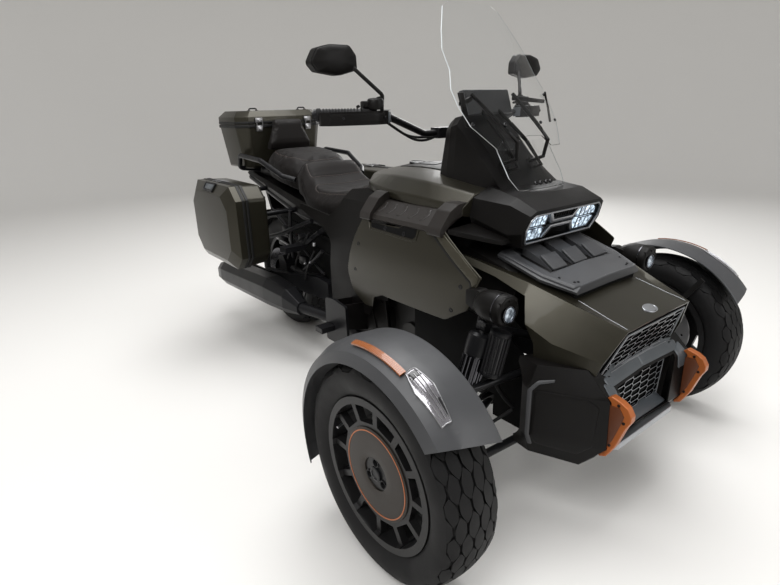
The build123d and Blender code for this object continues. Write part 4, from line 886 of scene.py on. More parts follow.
def hex_net(bm, place, outline, columns, rows):
    """A net of long hexagons on a sloped face, cut to a convex outline of (x, z) and pushed back."""
    part = bmesh.new()
    flat, half, high = HEX_FLAT, HEX_HALF, HEX_HIGH
    top = max(z for _, z in outline)
    for i in range(-columns, columns + 1):
        for j in range(rows):
            x, z = (flat + half) * i, top - high * (2 * j + (1 if i % 2 else 0))
            corners = ((-half, 0), (-flat, high), (flat, high), (half, 0), (flat, -high), (-flat, -high))
            part.faces.new([part.verts.new((x + u, 0, z + v)) for u, v in corners])
    bmesh.ops.remove_doubles(part, verts=part.verts, dist=0.01)
    middle = Vector((sum(x for x, _ in outline) / len(outline), 0, sum(z for _, z in outline) / len(outline)))
    for (x0, z0), (x1, z1) in zip(outline, outline[1:] + outline[:1]):
        normal = Vector((z1 - z0, 0, x0 - x1))
        if (Vector((x0, 0, z0)) - middle).dot(normal) < 0:
            normal = -normal
        bmesh.ops.bisect_plane(part, geom=part.verts[:] + part.edges[:] + part.faces[:], plane_co=(x0, 0, z0),
                               plane_no=normal, clear_outer=True)
    inset = bmesh.ops.inset_individual(part, faces=part.faces[:], thickness=NET_RIB, use_even_offset=True)
    bmesh.ops.delete(part, geom=list(set(part.faces) - set(inset["faces"])), context="FACES_ONLY")
    for face in part.faces:
        face.material_index = 1
    for vert in part.verts:
        vert.co = place(vert.co.x, vert.co.z)
    front = set(part.faces)
    made = bmesh.ops.extrude_face_region(part, geom=part.faces[:], use_keep_orig=True)["geom"]
    moved = [g for g in made if isinstance(g, bmesh.types.BMVert)]
    bmesh.ops.translate(part, vec=Vector((0, NET_DEEP * MM, 0)), verts=moved)
    for face in set(part.faces) - front:
        face.material_index = 0
    bmesh.ops.recalc_face_normals(part, faces=part.faces)
    join(bm, part)


def grille(name, place, outline, columns, rows, rim):
    """One grille: its net with bright fronts, a rounded frame round it and a dark plate behind that stands in
    for the shade behind the net.
    """
    bm = bmesh.new()
    hex_net(bm, place, outline, columns, rows)
    obj = settle(bm, name + "_net", "gloss_black", "chassis", 0)
    obj.data.materials.append(FINISHES["grey_trim_edge_highlight"])
    with piece(name + "_back", "painted_shade_black", "chassis", "black_plastic", 0) as bm:
        add_prism(bm, [place(x, z) + Vector((0, 0.016, 0)) for x, z in outline], (0, 0.004, 0))
    with piece(name + "_frame", "grey_trim_edge_highlight", "chassis", "black_plastic") as bm:
        corners = [place(x, z) + Vector((0, -0.001, 0)) for x, z in outline]
        add_pipe(bm, corners + corners[:1], rim * MM, 8)


def upper_face(x, z):
    """A place on the sloped face of the upper grille."""
    return at(x, -305 + (620 - z) * 68 / 190, z)


def lower_face(x, z):
    """A place on the upright face of the lower grille."""
    return at(x, -268, z)


def sloped(points, behind):
    """Places of (x, z) points on a plane some millimetres behind the lamp pod's sloped front."""
    return [at(x, (884 - z) * 0.351 + behind, z) for x, z in points]


class ROADSTER_OT_grilles(bpy.types.Operator):
    """Build the grilles, the trim of the mouth and bumper, the guards' webs and screws and the nose boss"""
    bl_idname = "roadster.grilles"
    bl_label = "Grilles and bumper trim"

    def execute(self, context):
        grille("upper_grille", upper_face, [(-156, 602), (156, 602), (190, 484), (-190, 484)], 5, 8, 2.6)
        grille("lower_grille", lower_face, [(-152, 444), (152, 444), (130, 306), (-130, 306)], 4, 9, 1.6)
        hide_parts("nose_grilles")
        bumper, nose = Skin("front_bumper"), Skin("nose_cowl")
        band = rounded([(-1, 456), (-1, 496), (158, 494), (172, 480), (196, 478), (190, 462), (166, 456)],
                       [0, 0, 4, 4, 8, 6, 4])
        # the band over the mouth is pale blue-grey, a painted reflection of the sky
        draped("mouth_band", bumper, band, "y", 1.6, "pale_grey_painted_reflection", 12, 0.8)
        horn = rounded([(168, 456), (206, 472), (214, 440), (205, 404), (176, 398)], 6)
        draped("mouth_horns", bumper, horn, "y", 2.2, "pale_grey_painted_reflection", 10, 1.0)
        side = rounded([(-288, 300), (-292, 420), (-262, 440), (-148, 440), (-142, 300), (-150, 268),
                        (-250, 262)], 12)
        draped("bumper_side_plates", bumper, side, "x", 2.4, "black_plastic", 14, 1.2)
        rib = rounded([(-132, 262), (-132, 440), (-148, 466), (-184, 474), (-184, 467), (-154, 457),
                       (-142, 438), (-142, 262)], [2, 12, 12, 2, 2, 8, 8, 2])
        draped("bumper_ribs", bumper, rib, "x", 4.0, "grey_plastic", 14, 1.0)
        with piece("mouth_lines", "silver_paint") as bm:
            for z, r in ((489, 1.9), (482.5, 1.3)):
                add_pipe(bm, surface_line(bumper, [(-152.5, z), (152, z)], "y", 2.4, 24), r * MM, 8)
        with piece("mouth_sill", "pale_grey_painted_reflection") as bm:
            add_prism(bm, [at(-140, -296, 300), at(140, -296, 300), at(132, -262, 322), at(-132, -262, 322)],
                      (0, 0, -0.004), 0.8)
        web = rounded([(-310, 432), (-338, 434), (-352, 414), (-344, 384), (-328, 332), (-312, 300)], 3)
        # the webs take the darkened accent colour, painted shade on the guards' inner side
        with piece("guard_webs", "accent_painted_shade", mirrored=True) as bm:
            for x in (199.0, 211.5):
                add_prism(bm, side_points(web, x), (0.0135, 0, 0), 1.0)
        with piece("guard_hardware", "black_metal", mirrored=True) as bm:
            for d, z in ((-334, 440), (-352, 396), (-322, 316)):
                add_bolt(bm, at(223, d, z), (1, 0, 0), 4.2, 2.4)
                add_bolt(bm, at(201, d, z), (-1, 0, 0), 4.2, 2.4)
        dish = [(-3, 0), (-3, 29), (1.2, 29), (2.4, 27.6), (2.4, 25.6), (1.0, 24.8), (1.0, 22), (1.8, 18),
                (2.4, 0)]
        with piece("nose_boss", "silver_paint") as bm:
            spot, normal = nose.hit(at(0, -274, 900), (0, 0, -1))
            add_turned(bm, dish, spot, normal, 48)
            for vert in bm.verts:
                vert.co.y = spot.y + (vert.co.y - spot.y) * 0.62
                vert.co.z = spot.z + (vert.co.z - spot.z) * 0.8
        return {"FINISHED"}


class ROADSTER_OT_headlamps(bpy.types.Operator):
    """Build the headlamps and trim, the pod's bright edge, the nose's painted edge highlights, and the scoop's
    fittings with painted shade in its gap and bed
    """
    bl_idname = "roadster.headlamps"
    bl_label = "Headlamps"

    def execute(self, context):
        bm = bmesh.new()
        upper = rounded([(86, 865), (146, 864), (166, 853), (172, 833), (86, 833)], [3, 6, 10, 5, 3])
        lower = rounded([(86, 827), (171, 827), (166, 806), (154, 791), (86, 791)], [3, 5, 10, 6, 3])
        for outline, behind in ((upper, 9), (lower, 11)):
            add_prism(bm, sloped(outline, behind), (0, 0.012, 0), 3.0, 3)
        mirror_copy(bm)
        lamps = settle(bm, "headlamp_lenses", "lamp_glow", "chassis")
        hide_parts("headlamps")
        with piece("headlamp_frames", "dark_chrome", mirrored=True) as bm:
            for outline in (upper, lower):
                ring = sloped(outline, 8)
                add_pipe(bm, ring + ring[:1], 0.0017, 8)
            for x in (110, 134):
                add_prism(bm, sloped([(x - 1, 863), (x + 1, 863), (x + 1, 835), (x - 1, 835)], 7.5),
                          (0, 0.006, 0), 0.4)
                add_prism(bm, sloped([(x - 1, 825), (x + 1, 825), (x + 1, 793), (x - 1, 793)], 9.5),
                          (0, 0.006, 0), 0.4)
        brow = [(-80, 868), (-66, 868), (-47, 843), (47, 843), (66, 868), (80, 868), (55, 832), (-55, 832)]
        chin = [(-55, 826), (55, 826), (80, 789), (66, 789), (47, 815), (-47, 815), (-66, 789), (-80, 789)]
        with piece("lamp_trim", "silver_paint") as bm:
            for outline in (brow, chin):
                add_prism(bm, sloped(outline, 7), (0, 0.014, 0), 1.6)
        with piece("lamp_vents", "black_plastic") as bm:
            for k in range(7):
                x = -36 + 12 * k
                add_prism(bm, sloped([(x - 2.2, 867), (x + 2.2, 867), (x + 2.2, 846), (x - 2.2, 846)], 12),
                          (0, 0.016, 0), 0.7)
            for k in range(5):
                z = 811 - 5 * k
                half = 44 + 3.0 * k
                add_prism(bm, sloped([(-half, z), (half, z), (half, z - 2), (-half, z - 2)], 14),
                          (0, 0.012, 0), 0.4)
        with piece("pod_bezel", "silver_paint") as bm:
            half = [(157, 870), (174, 857), (181, 826), (165, 784)]
            ring = rounded([(-x, z) for x, z in half] + half[::-1], [6, 10, 12, 8, 8, 12, 10, 6], 6)
            bezel = sloped(ring, -1.2)
            add_pipe(bm, bezel + bezel[:1], 0.0028, 10)
        scoop, nose = Skin("hood_scoop"), Skin("nose_cowl")
        # thin grey lines along the nose's creases: painted edge highlights
        with piece("nose_edge_highlights", "grey_trim_edge_highlight", mirrored=True) as bm:
            add_pipe(bm, surface_line(nose, [(152, -148), (160, -298)], "z", 0.3, 12), 0.0009, 8)
        with piece("scoop_rim", "scoop_plastic") as bm:
            rim = [(196, 96), (191, -52), (162, -134), (140, -144), (-140, -144), (-162, -134), (-191, -52),
                   (-196, 96)]
            add_pipe(bm, surface_line(scoop, rim, "z", 0.4, 10), 0.0042, 10)
            add_pipe(bm, surface_line(scoop, [(158, 84), (156, -54), (-156, -54), (-158, 84)], "z", 0.2, 10),
                     0.003, 8)
        # a dark sheet under the scoop's front edge: painted shade in the gap
        with piece("scoop_gap_shadow", "painted_shade_black") as bm:
            add_prism(bm, [at(-150, -140, 640), at(150, -140, 640), at(158, -140, 684), at(-158, -140, 684)],
                      (0, 0.1, 0), 2.0)
        with piece("scoop_pads", "scoop_plastic") as bm:
            for x in (-103, 0, 103):
                add_prism(bm, [at(x - 33, -50, 716), at(x + 33, -50, 716), at(x + 35, -2, 748),
                               at(x - 35, -2, 748)], (0, -0.002, 0.007), 2.6, 3)
        # a thin black sheet on the floor of the scoop's recess: painted shade under the pads
        with piece("scoop_bed_shade", "black_plastic") as bm:
            add_prism(bm, [at(-154, -54, 712), at(154, -54, 712), at(157, 60, 741), at(-157, 60, 741)],
                      (0, -0.0005, 0.002), 0.6)
        with piece("scoop_screws", "black_metal") as bm:
            for x, d in ((126, -126), (138, -122), (158, -86), (-126, -126), (-138, -122), (-158, -86)):
                hit = scoop.hit(at(x, d, 1200), (0, 0, -1))
                add_bolt(bm, hit[0], hit[1], 4.0, 1.8)
        return {"FINISHED"}


class ROADSTER_OT_small_lamps(bpy.types.Operator):
    """Build the side lamps, the fender lamps and their amber strips, and the tail lamps"""
    bl_idname = "roadster.small_lamps"
    bl_label = "Small lamps"

    def execute(self, context):
        shell, glass, ring = bmesh.new(), bmesh.new(), bmesh.new()
        axis = (0, -1, 0)
        centre, middle = at(366, 0, 661), at(366, 0, 653)
        pot = [(-22, 0), (-22, 20), (-14, 31), (8, 41), (30, 44.5), (60, 45), (72, 44.2), (80, 41.5),
               (84, 38), (85, 34.5), (82, 33), (80, 31), (79, 0)]
        add_turned(shell, pot, centre, axis, 48)
        add_turned(ring, [(58, 45.1), (58, 45.9), (61, 45.9), (61, 45.1)], centre, axis, 48)
        add_turned(ring, [(80, 24.5), (86, 24.8), (88, 23.4), (88, 21.4), (84, 20.6), (80, 20.4)], middle,
                   axis, 40)
        add_turned(glass, [(78, 0), (78, 20.6), (84, 20.2), (86.5, 16), (87.6, 8), (88, 0)], middle, axis, 40)
        visor = rounded([(-36, 668), (-33, 690), (-16, 702), (16, 702), (33, 690), (36, 668), (14, 676),
                         (-14, 676)], 6)
        add_prism(shell, [at(366 + x, -84, z) for x, z in visor], (0, 0.03, 0), 2.0)
        add_bolt(shell, at(366, -86, 690), axis, 3.4, 1.6)
        arm = rounded([(-12, 636), (40, 628), (74, 640), (74, 684), (30, 690), (-8, 682)], 8)
        add_prism(shell, side_points(arm, 330), (0.034, 0, 0), 4.0, 3)
        for bm in (shell, glass, ring):
            mirror_copy(bm)
        body = settle(shell, "side_lamp_shells", "black_plastic", "chassis")
        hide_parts("side_lamps")
        settle(glass, "side_lamp_lenses", "lamp_glow_soft", "chassis")
        settle(ring, "side_lamp_rings", "dark_chrome")
        for side, name in ((1, "left"), (-1, "right")):
            centre = Vector((side * WHEEL_X, FRONT_AXLE_Y, FRONT_TYRE_R))
            self.amber(side, name, centre)
            self.fender(side, name, centre)
            self.signal(side, name)
        dressed("tail_lamps", "red_lens", 2.0)
        return {"FINISHED"}

    def fender(self, side, name, centre):
        """The fender's own form, drawn in at its inner edge and cut on a slant at its front."""
        node = "fender_" + name
        bm = merged(node)
        front, aside = radians(56.5), radians(49)
        inner, outer = [centre + Vector((side * x, -340 * sin(turn), 340 * cos(turn))) * MM
                        for x, turn in ((-70, front), (97, aside))]
        cut = (outer - inner).cross(Vector((0, -sin(front), cos(front))))
        cut = -cut if cut.y > 0 else cut
        for spot, normal in ((centre + Vector((-side * 0.070, 0, 0)), Vector((-side, 0, 0))), (inner, cut)):
            bmesh.ops.bisect_plane(bm, geom=bm.verts[:] + bm.edges[:] + bm.faces[:], plane_co=spot,
                                   plane_no=normal, clear_outer=True)
            bmesh.ops.holes_fill(bm, edges=[e for e in bm.edges if e.is_boundary])
        obj = settle(bm, node + "_skin", "grey_plastic", body_of(node), 40)
        soften(obj, 1.6)
        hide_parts(node)

    def signal(self, side, name):
        """The clear lamp on one fender: a silvered dish with ribs, a bright rim and two dark ends."""
        skin = Skin("fender_" + name)
        body = body_of("fender_" + name)
        outline = rounded([(side * x, d) for x, d in ((718, -116), (744, -116), (755, -158), (748, -234),
                                                      (724, -238), (708, -166))], 4)
        bm = bmesh.new()
        drape(bm, skin, outline, "z", 3.0, 9, 1.0)
        obj = settle(bm, "signal_dish_" + name, "signal_lens", body)
        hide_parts("fender_lamp_" + name)
        with piece("signal_rim_" + name, "machined_steel", body) as bm:
            add_pipe(bm, surface_line(skin, outline + outline[:1], "z", 3.2, 6), 0.0014, 8)
            for inset in (0.22, 0.5, 0.78):
                top, low = 712 + 40 * inset, 722 + 24 * inset
                add_pipe(bm, surface_line(skin, [(side * top, -128), (side * low, -230)], "z", 4.2, 8),
                         0.0011, 6)
        with piece("signal_ends_" + name, "gloss_black", body) as bm:
            for ends in (((721, -120), (741, -120), (747, -138), (716, -138)),
                         ((716, -196), (722, -228), (728, -228), (724, -190))):
                drape(bm, skin, rounded([(side * x, d) for x, d in ends], 2), "z", 3.8, 9, 0.4)

    def amber(self, side, name, centre):
        """The amber strip on one fender."""
        low, high = radians(-12), radians(19)
        section = [(52, 349.5), (52, 352.4), (60, 351.2), (68, 348.0), (68, 344.0), (60, 347.6)]
        with piece("amber_strip_" + name, "amber_lens", body_of("fender_" + name), "lamp_glass") as bm:
            verts = [bm.verts.new(centre + Vector((side * x, -r * sin(low), r * cos(low))) * MM)
                     for x, r in section]
            edges = [bm.edges.new(pair) for pair in zip(verts, verts[1:] + verts[:1])]
            bmesh.ops.spin(bm, geom=verts + edges, cent=centre, axis=(1, 0, 0), angle=high - low, steps=22)
            bmesh.ops.holes_fill(bm, edges=[e for e in bm.edges if e.is_boundary])
            bmesh.ops.recalc_face_normals(bm, faces=bm.faces)


class ROADSTER_OT_screen(bpy.types.Operator):
    """Build the screen's sheets, struts and screws, the dash panel and the display with its glass"""
    bl_idname = "roadster.screen"
    bl_label = "Screen and dash"

    def execute(self, context):
        bm = merged("windshield")
        lean = Vector((0, -1, 0.65)).normalized()
        for face in bm.faces:
            face.material_index = 1 if abs(Vector((0, face.normal.y, face.normal.z)).dot(lean)) < 0.35 else 0
        obj = settle(bm, "screen_sheets", "clear_screen", "chassis", 20)
        obj.data.materials.append(FINISHES["screen_edge"])
        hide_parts("windshield")
        with piece("screen_struts", "black_plastic", mirrored=True) as bm:
            cowl = Skin("dash_cowl")
            for points in ([(98, 322, 1200), (86, 214, 1114), (74, 152, 1062), (66, 160, 1010)],
                           [(40, 330, 1150), (52, 222, 1060), (58, 160, 985)]):
                foot = cowl.hit(at(*points[-1]), (0, 1, -0.35))[0]
                add_pipe(bm, [at(*p) for p in points] + [foot + Vector((0, 0.004, -0.0014))], 0.0062, 10)
                add_turned(bm, [(-3, 0), (-3, 13), (2, 13), (4, 10), (4, 0)], foot, (0, -1, 0.35), 20)
            add_prism(bm, [at(196, 262, 1206), at(208, 270, 1206), at(204, 238, 1108), at(192, 232, 1108)],
                      (0, 0.008, 0), 2.0)
            add_prism(bm, [at(100, 318, 1196), at(200, 268, 1180), at(200, 268, 1168), at(100, 318, 1180)],
                      (0, 0.01, 0), 2.0)
        screen = Skin("windshield")
        with piece("screen_screws", "gloss_black") as bm:
            for x, z in ((86, 1112), (74, 1064), (198, 1196), (198, 1116), (-86, 1112), (-74, 1064),
                         (-198, 1196), (-198, 1116)):
                hit = screen.hit(at(x, -600, z), (0, 1, 0))
                if hit:
                    add_bolt(bm, hit[0], hit[1], 5.5, 3.2)
            for x in (-36, -14, 14, 36):
                hit = screen.hit(at(x, -600, 940), (0, 1, 0))
                add_bolt(bm, hit[0], hit[1], 6.5, 4.5)
        dressed("display", "grey_plastic", 4.0)
        dressed("dash_cowl", "black_plastic", 8.0, 4)
        with piece("display_glass", "gloss_black") as bm:
            add_prism(bm, [at(-98, 371, 1200), at(98, 371, 1200), at(98, 349, 1146), at(-98, 349, 1146)],
                      (0, 0.004, 0), 1.2)
        return {"FINISHED"}


# Luggage
def add_loop(bm, outer, inner, push, bevel):
    """Adds a flat ring between two outlines with as many corners, pushed along a direction and rounded."""
    part = bmesh.new()
    loops = []
    for outline in (outer, inner):
        verts = [part.verts.new(p) for p in outline]
        loops += [part.edges.new(pair) for pair in zip(verts, verts[1:] + verts[:1])]
    bmesh.ops.bridge_loops(part, edges=loops)
    made = bmesh.ops.extrude_face_region(part, geom=part.faces[:])["geom"]
    bmesh.ops.translate(part, vec=Vector(push), verts=[g for g in made if isinstance(g, bmesh.types.BMVert)])
    bmesh.ops.recalc_face_normals(part, faces=part.faces)
    sharp = [e for e in part.edges if len(e.link_faces) == 2 and e.calc_face_angle(0) > radians(50)]
    bmesh.ops.bevel(part, geom=sharp, offset=bevel * MM, segments=2, profile=0.5, affect="EDGES", material=-1)
    join(bm, part)


def cut_box(u0, u1, v0, v1, cut, grow):
    """Outline of a box with cut, rounded corners, grown by some millimetres."""
    u0, u1, v0, v1, cut = u0 - grow, u1 + grow, v0 - grow, v1 + grow, cut + 0.586 * grow
    corners = [(u0 + cut, v0), (u1 - cut, v0), (u1, v0 + cut), (u1, v1 - cut), (u1 - cut, v1), (u0 + cut, v1),
               (u0, v1 - cut), (u0, v0 + cut)]
    return rounded(corners, 14, 3)


# The cases' outlines at their seams, with the size of the cut corners, and how far the bands stand out and in
SIDE_CASE = (1350, 1860, 468, 850, 60)
TOP_CASE = (-250, 250, 1782, 2098, 52)
BAND_GROWTH = (2.4, -1.5)

# The side lids' upper bevel: where its sunk face starts, how far it runs out and down, and its length
BEVEL_X, BEVEL_Z = 491.174, 849.437
BEVEL_OUT, BEVEL_DOWN, BEVEL_LONG = 30, 44, 53.3
LATCH_D = 1610


class ROADSTER_OT_luggage(bpy.types.Operator):
    """Build the cases' shells, the bands along their seams, and their latches and loops"""
    bl_idname = "roadster.luggage"
    bl_label = "Luggage"

    def execute(self, context):
        self.shells()
        for side, name in ((1, "left"), (-1, "right")):
            for low, high, body, part in ((431, 444.5, "chassis", "case"),
                                          (449, 462, "side_lid_" + name, "lid")):
                with piece(f"{part}_band_{name}", "case_rubber", body) as bm:
                    rings = [[at(side * low, u, v) for u, v in cut_box(*SIDE_CASE, g)] for g in BAND_GROWTH]
                    add_loop(bm, *rings, (side * (high - low) * MM, 0, 0), 1.6)
            self.side_latch(side, name)
        for low, high, body, part in ((1083, 1098.5, "chassis", "case"), (1102.5, 1114, "top_lid", "lid")):
            with piece(part + "_band_top", "case_rubber", body) as bm:
                rings = [[at(u, v, low) for u, v in cut_box(*TOP_CASE, g)] for g in BAND_GROWTH]
                add_loop(bm, *rings, (0, 0, (high - low) * MM), 1.6)
        self.top_latches()
        return {"FINISHED"}

    def shells(self):
        """The cases' own forms with their outer corners well rounded and the seams left crisp."""
        for node, axis, seams, width in (
                ("side_cases", 0, (-446, 446), 13), ("side_case_lid_left", 0, (447, 448, 449), 13),
                ("side_case_lid_right", 0, (-447, -448, -449), 13), ("top_case", 2, (1100,), 12),
                ("top_case_lid", 2, (1101, 1102), 9)):
            bm = merged(node)
            middle = {}
            for face in bm.faces:
                side = face.calc_center_median().x > 0 if node == "side_cases" else 0
                middle.setdefault(side, []).append(face.calc_center_bounds())
            middle = {side: sum(spots, Vector()) / len(spots) for side, spots in middle.items()}

            def outward(face):
                """Whether a face looks away from the middle of its box."""
                spot = face.calc_center_median()
                return face.normal.dot(spot - middle[spot.x > 0 if node == "side_cases" else 0]) > 0.01
            chosen = []
            for edge in bm.edges:
                if edge.calc_length() < 0.03 or edge.calc_face_angle(0) < radians(8):
                    continue
                on_seam = all(min(abs(v.co[axis] / MM - s) for s in seams) < 2 for v in edge.verts)
                if not on_seam and all(outward(f) for f in edge.link_faces):
                    chosen.append(edge)
            bmesh.ops.bevel(bm, geom=chosen, offset=width * MM, segments=4, profile=0.5, affect="EDGES",
                            material=-1, clamp_overlap=True)
            obj = settle(bm, node + "_skin", "body_paint", body_of(node), 30)
            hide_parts(node)

    def side_latch(self, side, name):
        """The handle frame on the lid's upper bevel, its paddle and the wire over the seam."""
        def face(points):
            """Places of (u, v) points just under the bevel: u along the case, v down the slope."""
            return [at(side * (BEVEL_X + BEVEL_OUT * v / BEVEL_LONG), LATCH_D + u,
                       BEVEL_Z - BEVEL_DOWN * v / BEVEL_LONG) for u, v in points]

        frame_out = rounded([(-66, -2), (66, -2), (58, 44), (-58, 44)], 9)
        frame_in = rounded([(-52, 6), (52, 6), (45, 35), (-45, 35)], 7)
        push = Vector((side * 0.826, 0, 0.563)) * 0.008
        with piece("side_latch_frame_" + name, "black_metal", "side_lid_" + name) as bm:
            add_loop(bm, face(frame_out), face(frame_in), push, 2.0)
        with piece("side_latch_paddle_" + name, "pale_grey_painted_reflection", "side_lid_" + name) as bm:
            paddle = rounded([(-50, 7), (50, 7), (44, 33), (-44, 33)], 6)
            add_prism(bm, face(paddle), push * 0.75, 1.6)
        with piece("side_latch_wire_" + name, "machined_steel") as bm:
            hook = [(480, 846), (478, 856), (452, 857), (430, 856), (428, 848)]
            for d in (1588, 1632):
                add_pipe(bm, [at(side * x, d, z) for x, z in hook], 0.0022, 8)
            add_box(bm, *sorted((side * 420, side * 438)), 1574, 1646, 848, 856, 2.0)

    def top_latches(self):
        """The two latches behind the passenger and a carrying loop over each."""
        lower, upper, wire, loops = bmesh.new(), bmesh.new(), bmesh.new(), bmesh.new()
        for x in (-143, 143):
            add_box(lower, x - 17, x + 17, 1771, 1785, 1064, 1094, 3.0)
            add_box(lower, x - 13, x + 13, 1766, 1774, 1068, 1086, 2.0)
            add_box(upper, x - 21, x + 21, 1772, 1785, 1108, 1132, 3.0)
            add_box(upper, x - 12, x + 12, 1768, 1774, 1112, 1122, 2.0)
            for u in (x - 16, x + 16):
                add_pipe(wire, [at(u, 1772, 1078), at(u, 1768, 1100), at(u, 1769, 1120)], 0.002, 8)
            add_pipe(wire, [at(x - 16, 1769, 1120), at(x + 16, 1769, 1120)], 0.002, 8)
            loop = [(-22, 1163), (-20, 1174), (-14, 1177), (14, 1177), (20, 1174), (22, 1163)]
            add_pipe(loops, [at(x + u, 1838, z) for u, z in loop], 0.0038, 10)
            for foot in (x - 22, x + 22):
                add_turned(loops, [(-3, 0), (-3, 9), (2.4, 9), (3.4, 8), (3.4, 0)],
                           at(foot, 1838, 1165.5), (0, 0, 1), 20)
        settle(lower, "top_latch_levers", "machined_steel")
        settle(upper, "top_latch_keepers", "machined_steel", "top_lid")
        settle(wire, "top_latch_wires", "machined_steel")
        settle(loops, "top_lid_loops", "black_metal", "top_lid")


# Flanks, boards and tank
LIP_STEPS = 12


class ROADSTER_OT_flanks(bpy.types.Operator):
    """Build the flank panels' strips with a painted highlight, their slots as painted shade and their screws,
    the boards' ribs, the tank's inlay and its cap
    """
    bl_idname = "roadster.flanks"
    bl_label = "Flanks and tank"

    def execute(self, context):
        flank, board = Skin("side_panels"), Skin("cargo_boards")
        strip = rounded([(222, 824), (236, 808), (150, 750), (72, 702), (64, 684), (48, 700), (48, 718),
                         (120, 766)], [4, 8, 40, 10, 6, 10, 8, 30])
        # the strip is a lighter copy of the body paint: a painted highlight along the flank
        draped("flank_strips", flank, strip, "x", 1.6, "strip_paint_highlight", 14, 1.0)
        line = rounded([(240, 806), (243, 801), (154, 744), (78, 697), (72, 678), (68, 681), (74, 700),
                        (150, 748)], 2)
        draped("flank_strip_lines", flank, line, "x", 0.9, "case_rubber", 14, 0)
        slot = rounded([(556, 797), (548, 782), (330, 778), (318, 786), (316, 812), (380, 812), (402, 799)],
                       4)
        # the slot is a dark sheet laid on the flank: painted shade in its recess
        draped("flank_slot_shadows", flank, slot, "x", 1.2, "painted_shade_black", 14, 0.4)
        lip = [(572, 806), (556, 776), (332, 770), (312, 778), (306, 818)]
        with piece("flank_slot_lips", "body_paint", mirrored=True) as bm:
            spots = []
            for (d0, z0), (d1, z1) in zip(lip, lip[1:]):
                for k in range(LIP_STEPS):
                    t = k / LIP_STEPS
                    hit = flank.hit(at(1500, d0 + (d1 - d0) * t, z0 + (z1 - z0) * t), (-1, 0, 0))
                    if hit:
                        spots.append(hit[0] + hit[1] * 0.0008)
            add_pipe(bm, spots, 0.0022, 8)
        socket = [(-2, 0), (-2, 7.6), (0.9, 7.4), (1.3, 6.4), (0.5, 5.4), (0.5, 2.6), (-0.4, 2.4), (-0.4, 0)]
        with piece("flank_screws", "black_metal", mirrored=True) as bm:
            for d, z in ((618, 712), (647, 611), (109, 677), (149, 593), (470, 790), (372, 787)):
                spot, normal = flank.hit(at(1500, d, z), (-1, 0, 0))
                add_turned(bm, socket, spot + normal * (0.0012 if z > 780 else 0), normal, 20)
        self.boards(board)
        self.tank(Skin("tank_cover"))
        return {"FINISHED"}

    def boards(self, skin):
        """Raised arrow-shaped ribs on the boards."""
        with piece("board_ribs", "board_plastic", mirrored=True) as bm:
            for d in (300, 356, 412, 468, 520):
                rib = [(296, d), (318, d + 14), (318, d + 30), (296, d + 16), (274, d + 30), (274, d + 14)]
                drape(bm, skin, rounded(rib, 4), "z", 1.5, 10, 0.8)

    def tank(self, skin):
        """The black inlay on the tank, its plate and the filler cap."""
        inlay = rounded([(-70, 726), (70, 726), (96, 610), (104, 400), (101, 204), (-101, 204), (-104, 400),
                         (-96, 610)], [30, 30, 60, 40, 4, 4, 40, 60])
        draped("tank_inlay", skin, inlay, "z", 1.8, "black_plastic", 18, 1.2, mirrored=False)
        plate = rounded([(-40, 640), (40, 640), (52, 590), (52, 540), (-52, 540), (-52, 590)], 10)
        draped("tank_plate", skin, plate, "z", 3.6, "scoop_plastic", 14, 1.2, mirrored=False)
        with piece("filler_cap", "black_metal") as bm:
            add_turned(bm, [(-3, 0), (-3, 34), (2.5, 34), (4.5, 32), (4.5, 28), (3.0, 27), (3.0, 0)],
                       skin.hit(at(0, 690, 1300), (0, 0, -1))[0], (0, -0.08, 1), 40)


